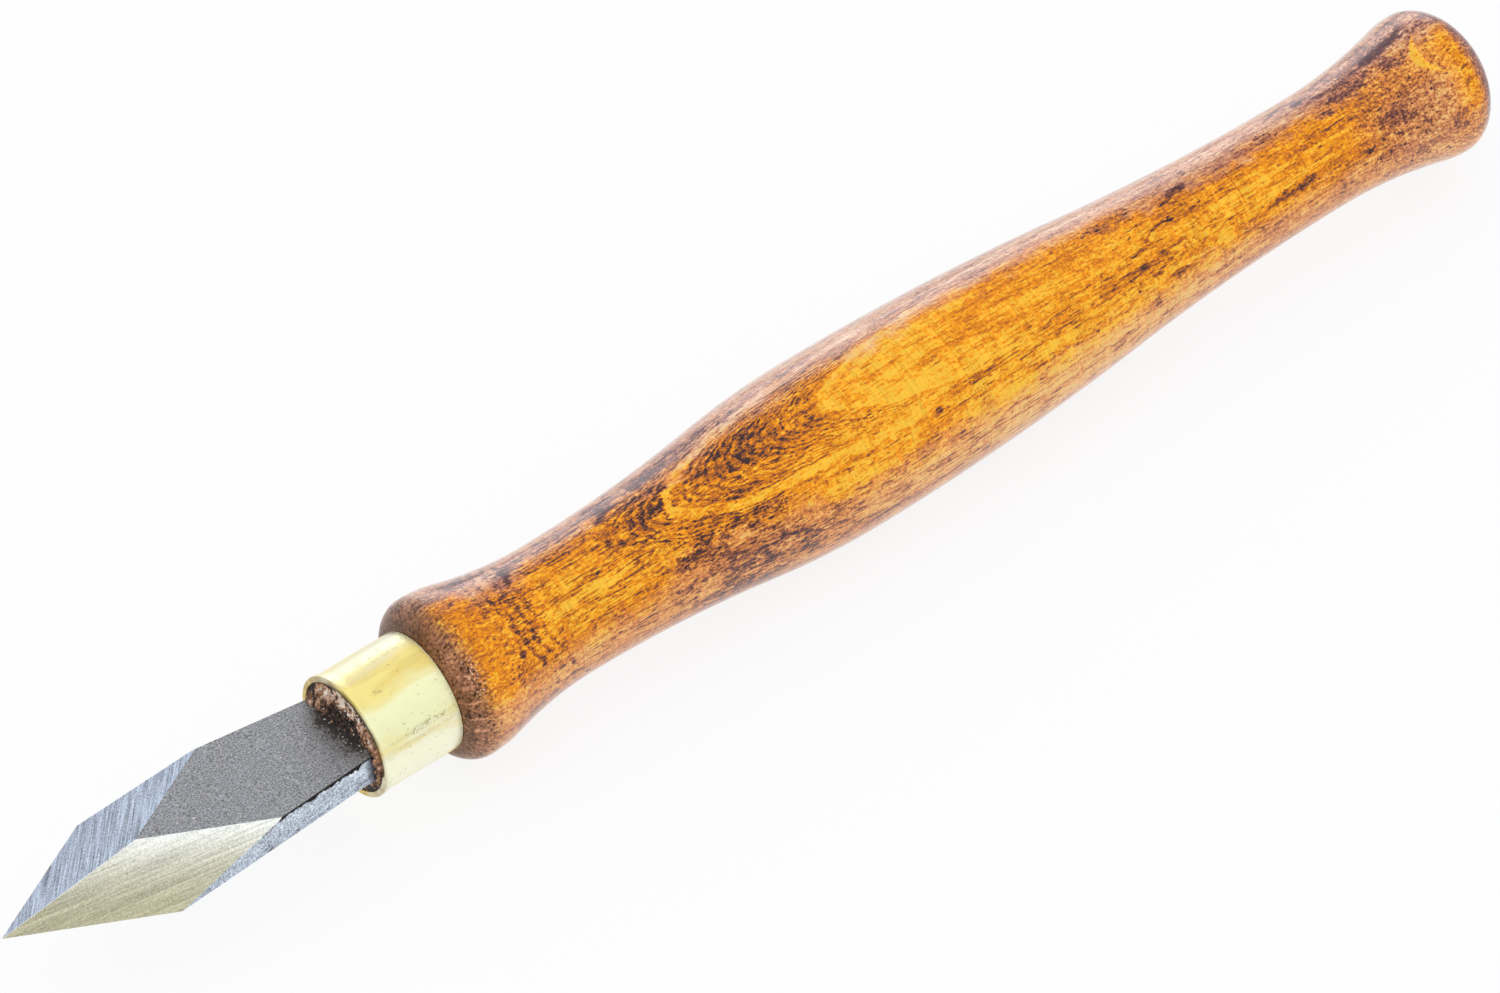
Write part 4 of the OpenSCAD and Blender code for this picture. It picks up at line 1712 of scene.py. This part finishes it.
@dataclass
class SteelBlade:
    """The spear-point blade: two bevels ground on a forged bar with a flat ground back.

    Lengths are in mm and angles in degrees.
    """

    length: float = 41.7
    width: float = 17.7
    root_width: float = 11.67
    thickness: float = 3.0
    skin: float = 0.1
    skin_length: float = 1.5
    point_angle: float = 60.0
    bevel_angle: float = 20.0
    tip_up: float = 2.8
    tenon_x: float = TENON_X
    mouth_depth: float = 1.2
    tang_length: float = 44.0
    tang_root: float = 6.2
    tang_end: float = 3.4
    tang_thickness: float = 2.8
    tang_lap: float = 1.0
    dark_edge: float = 0.098
    bright_edge: float = 0.042

    @property
    def point_length(self) -> float:
        """Length of the point, from its tip to the corners."""
        return self.width / 2 / math.tan(math.radians(self.point_angle / 2))

    @property
    def slope(self) -> float:
        """How much the half width falls in each mm behind the corners."""
        return (self.width - self.root_width) / 2 / (self.length - self.point_length)

    def half_width(self, x: float) -> float:
        """Half width of the bar at a distance from the point, behind its corners."""
        return self.width / 2 - (x - self.point_length) * self.slope

    def place(self) -> Matrix:
        """Takes the blade from its own place, with the point at the origin, to its place in the knife.

        Returns:
            The matrix, which works on mm.
        """
        back = Matrix.Translation((-(self.length + self.mouth_depth), 0.0, -self.thickness / 2))
        tipped = Matrix.Rotation(math.radians(self.tip_up), 4, "Y")
        return Matrix.Translation((self.tenon_x, 0.0, 0.0)) @ tipped @ back

    def shape(self) -> tuple[list[Vector], list[tuple[Surface, list[int]]]]:
        """Corners and faces of the blade.

        Returns:
            The corners in mm, in the blade's own place, and each face with its surface.
        """
        half = math.radians(self.point_angle / 2)
        across = self.thickness / math.tan(math.radians(self.bevel_angle))
        ridge_x = across / math.sin(half)
        side_x = across + math.cos(half) * (self.width / 2 + self.point_length * self.slope)
        side_x /= math.sin(half) + math.cos(half) * self.slope
        end = self.length + self.mouth_depth
        step = self.length - self.skin_length
        outer = (
            (self.point_length, 0), (side_x, self.thickness), (end, self.thickness),
            (end, -self.skin), (step, -self.skin), (step, 0),
        )
        corners = [Vector((0, 0, 0)), Vector((ridge_x, 0, self.thickness))]
        for side in (1, -1):
            corners += [Vector((x, side * self.half_width(x), z)) for x, z in outer]
        far, near = range(2, 8), range(8, 14)
        faces = [
            (Surface.FAR_BEVEL, [0, far[0], far[1], 1]),
            (Surface.NEAR_BEVEL, [0, 1, near[1], near[0]]),
            (Surface.FACE, [1, far[1], far[2], near[2], near[1]]),
            (Surface.SIDE, [far[0], far[5], far[4], far[3], far[2], far[1]]),
            (Surface.SIDE, list(near)),
            (Surface.BACK, [0, near[0], near[5], far[5], far[0]]),
            (Surface.FACE, [far[5], near[5], near[4], far[4]]),
            (Surface.FACE, [far[4], near[4], near[3], far[3]]),
            (Surface.FACE, [far[3], near[3], near[2], far[2]]),
        ]
        return corners, faces

    def tang_box(self) -> tuple[list[Vector], list[list[int]]]:
        """Corners and faces of the tapered tang.

        Returns:
            The corners in mm, in the tang's place in the knife, and each face.
        """
        root, end, half = self.tang_root / 2, self.tang_end / 2, self.tang_thickness / 2
        plan = [(-self.tang_lap, root), (0.0, root), (self.tang_length, end)]
        plan += [(x, -y) for x, y in reversed(plan)]
        corners = [Vector((self.tenon_x + x, y, z)) for z in (-half, half) for x, y in plan]
        n = len(plan)
        faces = [list(range(n)), list(range(2 * n - 1, n - 1, -1))]
        faces += [[i, n + i, n + (i + 1) % n, (i + 1) % n] for i in range(n)]
        return corners, faces

    def build(self, finishes: dict[Surface, Material]) -> Piece:
        """Builds the blade with its tang and dresses each surface.

        Args:
            finishes: The material of each surface.

        Returns:
            The blade, which stands for the CAD blade.
        """
        work = bmesh.new()
        corners, faces = self.shape()
        verts = [work.verts.new(self.place() @ c * MM) for c in corners]
        for surface, ring in faces:
            work.faces.new([verts[i] for i in ring]).material_index = surface.value
        bmesh.ops.recalc_face_normals(work, faces=work.faces)
        self.soften(work, verts)
        corners, rings = self.tang_box()
        verts = [work.verts.new(c * MM) for c in corners]
        tang = [work.faces.new([verts[i] for i in ring]) for ring in rings]
        bmesh.ops.recalc_face_normals(work, faces=tang)
        piece = mesh_object("steel_blade", [], [])
        work.to_mesh(piece.data)
        work.free()
        for surface in Surface:
            piece.data.materials.append(finishes[surface])
        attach(piece, "root")
        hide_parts("blade")
        return piece

    def soften(self, work: bmesh.types.BMesh, verts: list[bmesh.types.BMVert]) -> None:
        """Breaks the upper edges: a dark scaly one beside the face, and bright ones beside the bevels.

        Args:
            work: The mesh of the blade.
            verts: Its corners, in the order of shape.
        """
        breaks = (
            (Surface.DARK_EDGE, self.dark_edge, ((3, 4), (9, 10))),
            (Surface.BRIGHT_EDGE, self.bright_edge, ((1, 3), (1, 9), (0, 1), (2, 3), (8, 9))),
        )
        chosen = {
            work.edges.get((verts[a], verts[b])): surface for surface, _, pairs in breaks for a, b in pairs
        }
        for surface, width, _ in breaks:
            edges = [e for e, s in chosen.items() if s is surface and e.is_valid]
            bmesh.ops.bevel(
                work, geom=edges, offset=width * MM, segments=1, affect="EDGES",
                material=surface.value, clamp_overlap=True,
            )


@dataclass
class MouthFilling:
    """The crumbly filler that shows in the ferrule's mouth round the blade. Lengths are in mm."""

    mouth_x: float = MOUTH_X
    radius: float = 6.13
    depth: float = 0.16
    back_depth: float = 1.1
    relief: float = 0.26
    fine_relief: float = 0.2
    lumps: float = 0.55
    fine_lumps: float = 4.2
    fillet: float = 0.45
    fillet_reach: float = 0.9
    side_bead: float = 0.9
    bead_reach: float = 0.3
    rim_drop: float = 0.35
    rim_width: float = 0.1
    blade_top: float = 1.5
    blade_side: float = 5.5
    patches: float = 1.3
    crumb_density: float = 4.0
    smallest: float = 0.08
    largest: float = 0.32
    rings: int = 40
    sides: int = 160
    seed: int = 11

    def height(self, y: float, z: float) -> float:
        """How far the filler's surface lies behind the mouth at one place.

        Args:
            y: The place across the knife in mm.
            z: The place up the knife in mm.

        Returns:
            The depth in mm.
        """
        spot = Vector((y * self.lumps, z * self.lumps, self.seed))
        coarse = noise.fractal(spot, 0.8, 2.0, 5)
        fine = noise.fractal(spot * self.fine_lumps, 0.7, 2.0, 4)
        above = max(z - self.blade_top, 0.0)
        climb = self.fillet * math.exp(-above / self.fillet_reach) if z > 0.0 else 0.1 * self.fillet
        if y < -self.blade_side and abs(z) < self.blade_top + self.bead_reach:
            climb = self.side_bead
        rim = max(math.hypot(y, z) / self.radius - (1 - self.rim_width), 0.0) / self.rim_width
        surface = self.depth + self.rim_drop * rim * rim - climb
        return surface - self.relief * coarse - self.fine_relief * fine

    def char(self, y: float, z: float) -> float:
        """How brown the filler is: burnt black by the blade, and copper in a crescent along the rim.

        Args:
            y: The place across the knife in mm.
            z: The place up the knife in mm.

        Returns:
            The tone, from 0 for burnt to about 1 for copper.
        """
        spot = Vector((y * self.patches, z * self.patches, self.seed + 5.0))
        patchy = noise.fractal(spot, 0.8, 2.0, 4)
        if z < self.blade_top:
            return 0.42 + 0.3 * patchy
        inset = self.radius - math.hypot(y, z)
        warmth = max(1.0 - 0.024 * (y + 0.4) ** 2, 0.42) - 0.2 * max(0.6 - inset, 0.0) / 0.6
        return min(max((2.35 + 0.04 * y - inset) / 0.8, 0.0), 1.0) * warmth + 0.45 * patchy

    def tone(self, thing: Piece) -> None:
        """Notes how brown the filler is at each point of a piece.

        Args:
            thing: The piece.
        """
        tones = thing.data.attributes.new(TONE_NAME, "FLOAT", "POINT")
        for vertex, tone in zip(thing.data.vertices, tones.data, strict=True):
            tone.value = self.char(vertex.co.y / MM, vertex.co.z / MM)

    def circle(self, radius: float) -> Profile:
        """Places evenly round a circle about the axis."""
        angles = [math.tau * j / self.sides for j in range(self.sides)]
        return [(radius * math.cos(a), radius * math.sin(a)) for a in angles]

    def skin(self) -> tuple[list[Triple], list[tuple[int, ...]]]:
        """Points and faces of the filler, which is rough in front and flat behind.

        Returns:
            The points in mm, from the middle of the front outwards and then those of the back, and the faces
            in the same order.
        """
        verts = [(self.mouth_x + self.height(0, 0), 0.0, 0.0)]
        for i in range(1, self.rings + 1):
            for y, z in self.circle(self.radius * i / self.rings):
                verts.append((self.mouth_x + self.height(y, z), y, z))
        base = len(verts)
        back_x = self.mouth_x + self.back_depth
        verts += [(back_x, y, z) for y, z in self.circle(self.radius)]
        verts.append((back_x, 0.0, 0.0))
        sides = [(j, (j + 1) % self.sides) for j in range(self.sides)]
        faces: list[tuple[int, ...]] = [(0, 1 + k, 1 + j) for j, k in sides]
        for i in range(self.rings):
            inner = 1 + i * self.sides
            outer = inner + self.sides
            faces += [(inner + j, inner + k, outer + k, outer + j) for j, k in sides]
        faces += [(base + j, base + k, len(verts) - 1) for j, k in sides]
        return verts, faces

    def build(self, tree: Tree, finish: Material) -> list[Piece]:
        """Builds the surface of the filler and its loose crumbs.

        Args:
            tree: The tree that scatters crumbs.
            finish: The bedding.

        Returns:
            The pieces.
        """
        verts, faces = self.skin()
        crust = mesh_object("bedding_crust", verts, faces)
        face_outwards(crust)
        crust.data.materials.append(finish)
        source = mesh_object("crumb_bed", verts[:-self.sides - 1], faces[:-self.sides * 2])
        self.tone(crust)
        self.tone(source)
        crumbs = grown(
            source, tree, "bedding_crumbs", density=self.crumb_density / MM ** 2,
            smallest=self.smallest * MM, largest=self.largest * MM, seed=self.seed, finish=finish,
        )
        for piece in (crust, crumbs):
            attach(piece, "root")
        return [crust, crumbs]


@dataclass(frozen=True)
class SoftBox:
    """One soft rectangular lamp, with its place and size in mm."""

    name: str
    place: Triple
    size: tuple[float, float]
    radiance: float
    colour: Triple

    def hang(self) -> None:
        """Hangs the lamp so that it faces the knife."""
        lamp = bpy.data.lights.new(self.name, "AREA")
        lamp.shape = "RECTANGLE"
        lamp.size, lamp.size_y = (s * MM for s in self.size)
        lamp.energy = self.radiance * math.pi * lamp.size * lamp.size_y
        lamp.color = self.colour
        thing = bpy.data.objects.new(self.name, lamp)
        thing.location = Vector(self.place) * MM
        thing.rotation_mode = "QUATERNION"
        thing.rotation_quaternion = (-thing.location).to_track_quat("-Z", "Y")
        bpy.context.scene.collection.objects.link(thing)


@dataclass
class Studio:
    """Pale floor, soft light and the camera at the photo's angle. Lengths are in mm and angles in degrees."""

    floor_z: float = -9.66
    floor_half: float = 4000.0
    floor_colour: Colour = paint(246, 248, 252)
    floor_glow: float = 0.88
    ambient: Colour = (0.94, 0.945, 0.96, 1.0)
    background: Colour = paint(250, 251, 254)
    boxes: tuple[SoftBox, ...] = (
        SoftBox("overhead_box", (150.0, -60.0, 1100.0), (700.0, 700.0), 0.12, (1.0, 0.97, 0.92)),
        SoftBox("low_back_box", (703.0, 899.0, 371.0), (780.0, 554.0), 1.3, (0.93, 0.95, 1.0)),
    )
    look_at: Triple = (-2.02, -0.503, 0.0)
    distance: float = 998.81
    azimuth: float = -33.506
    elevation: float = 39.594
    roll: float = -8.247
    lens: float = 237.82
    sensor_width: float = 36.0

    def floor(self) -> None:
        """Lays a plain pale floor that keeps the knife's shadow."""
        s = self.floor_half
        corners = [(x, y, self.floor_z) for x, y in ((-s, -s), (s, -s), (s, s), (-s, s))]
        plane = mesh_object("floor", corners, [(0, 1, 2, 3)])
        material = bpy.data.materials.new("pale_paper")
        material.use_nodes = True
        wire = Wiring(material.node_tree)
        material.node_tree.nodes.clear()
        matte = wire.node("ShaderNodeBsdfDiffuse", {"Color": self.floor_colour}).outputs[0]
        glow = wire.node("ShaderNodeEmission", {"Color": paint(255, 255, 255), "Strength": 1.0}).outputs[0]
        path = wire.node("ShaderNodeLightPath").outputs
        seen = wire.math("MAXIMUM", path["Is Camera Ray"], path["Is Glossy Ray"])
        seen = wire.math("MAXIMUM", seen, path["Is Transmission Ray"])
        share = wire.times(seen, self.floor_glow)
        mixed = wire.node("ShaderNodeMixShader", {0: share, 1: matte, 2: glow}).outputs[0]
        wire.node("ShaderNodeOutputMaterial", {"Surface": mixed})
        plane.data.materials.append(material)

    def lights(self) -> None:
        """Sets even light all round, a soft box overhead and a cooler one low behind."""
        world = bpy.data.worlds.new("studio")
        bpy.context.scene.world = world
        world.use_nodes = True
        wire = Wiring(world.node_tree)
        world.node_tree.nodes.clear()
        path = wire.node("ShaderNodeLightPath").outputs
        colour = wire.blend(path["Is Camera Ray"], self.ambient, self.background)
        back = wire.node("ShaderNodeBackground", {"Color": colour, "Strength": 1.0}).outputs[0]
        wire.node("ShaderNodeOutputWorld", {"Surface": back})
        for box in self.boxes:
            box.hang()

    def camera(self) -> None:
        """Puts the camera where the photo was taken from."""
        data = bpy.data.cameras.new("camera")
        data.sensor_width = self.sensor_width
        data.lens = self.lens
        data.clip_start, data.clip_end = 0.05, 50.0
        a, e = math.radians(self.azimuth), math.radians(self.elevation)
        back = Vector((math.sin(a) * math.cos(e), -math.cos(a) * math.cos(e), math.sin(e)))
        aim = (-back).to_track_quat("-Z", "Y").to_matrix().to_4x4()
        spot = (Vector(self.look_at) + back * self.distance) * MM
        thing = bpy.data.objects.new("camera", data)
        thing.matrix_world = Matrix.Translation(spot) @ aim @ Matrix.Rotation(math.radians(self.roll), 4, "Z")
        bpy.context.scene.collection.objects.link(thing)
        bpy.context.scene.camera = thing

    def build(self) -> None:
        """Sets up the whole studio."""
        self.floor()
        self.lights()
        self.camera()
        bpy.context.scene.view_settings.view_transform = "Standard"


def blade_finishes(effects: SharedEffects, blade: SteelBlade) -> dict[Surface, Material]:
    """Builds the steel finishes.

    Args:
        effects: The shared shader groups.
        blade: The blade, whose place gives the directions of the grinding lines.

    Returns:
        The material of each surface of the blade.
    """
    turn = blade.place().to_3x3()
    up = turn @ Vector((0, 0, 1))
    foot = up.dot(blade.place() @ Vector((0, 0, 0)))

    def ground(
        name: str, colour: Colour, foot_colour: Colour, along: Triple, outward: Triple, **settings: float
    ) -> Material:
        """Builds one ground finish, whose directions are given in the blade's own place.

        Args:
            name: The material's name.
            colour: Its colour at the forged face.
            foot_colour: Its colour at the ground back.
            along: The direction of its grinding lines.
            outward: The direction that the surface faces.
            settings: Further values of the finish, by name.

        Returns:
            The material.
        """
        line = (turn @ Vector(along)).normalized()
        side = line.cross(turn @ Vector(outward)).normalized()
        return GroundFinish(name, colour, foot_colour, line, side, up, foot, **settings).build(effects)

    return {
        Surface.FACE: ForgedFinish().build(effects),
        # Painted reflection: khaki at the bevel's foot to near white by the face, as the light falls across
        # it
        Surface.NEAR_BEVEL: ground(
            "near_bevel_ground", paint(246, 249, 243), paint(188, 184, 156),
            (-0.963, 0.252, -0.096), (-0.171, -0.296, 0.940),
            contrast=1.5, roughness=0.34, grain_contrast=1.3, rise_curve=2.2,
        ),
        Surface.FAR_BEVEL: ground(
            "far_bevel_ground", paint(174, 186, 203), paint(170, 181, 198),
            (-0.644, -0.755, 0.121), (-0.171, 0.296, 0.940),
            contrast=3.8, line_length=6.0, line_pitch=0.14, grain_contrast=2.2,
        ),
        Surface.SIDE: ground(
            "side_ground", paint(196, 206, 218), paint(188, 198, 212),
            (-0.97, 0.0, -0.22), (0.0, 1.0, 0.0),
            contrast=2.0, roughness=0.42, line_length=2.0, line_pitch=0.4, grain_contrast=3.4,
            scale_depth=0.29, burnt_from=-55.4,
        ),
        Surface.BACK: ground(
            "back_ground", paint(206, 207, 208), paint(206, 207, 208),
            (0.1, 1.0, 0.0), (0.0, 0.0, 1.0), line_length=14.0,
        ),
        Surface.DARK_EDGE: ground(
            "scaly_edge", paint(58, 54, 52), paint(40, 38, 38), (0.0, 0.0, 1.0), (0.0, 1.0, 0.0),
            contrast=3.0, roughness=0.6, line_length=1.0, line_pitch=0.8,
        ),
        Surface.BRIGHT_EDGE: ground(
            "bright_edge", paint(236, 237, 236), paint(230, 232, 234), (1.0, 0.0, 0.0), (0.0, 0.0, 1.0),
        ),
    }


def main() -> None:
    """Builds each sub-assembly in order and reports its pieces."""
    logging.basicConfig(level=logging.INFO, format="%(name)s: %(message)s")
    Studio().build()
    effects = SharedEffects()
    turned_form = GeometryTrees.turned_form()
    crumb_scatter = GeometryTrees.crumb_scatter()
    bedding = BeddingFinish().build(effects)
    blade = SteelBlade()
    pieces = [
        blade.build(blade_finishes(effects, blade)),
        *MouthFilling().build(crumb_scatter, bedding),
        FerruleTube().build(turned_form, BrassFinish().build(effects)),
        HandleWood().build(turned_form, BeechFinish().build(effects)),
    ]
    hidden_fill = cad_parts["tang_bedding"]
    hidden_fill.data.materials.clear()
    hidden_fill.data.materials.append(bedding)
    for piece in [*pieces, hidden_fill]:
        LOG.info("%s: %d faces", piece.name, len(piece.data.polygons))


if __name__ == "__main__":
    main()
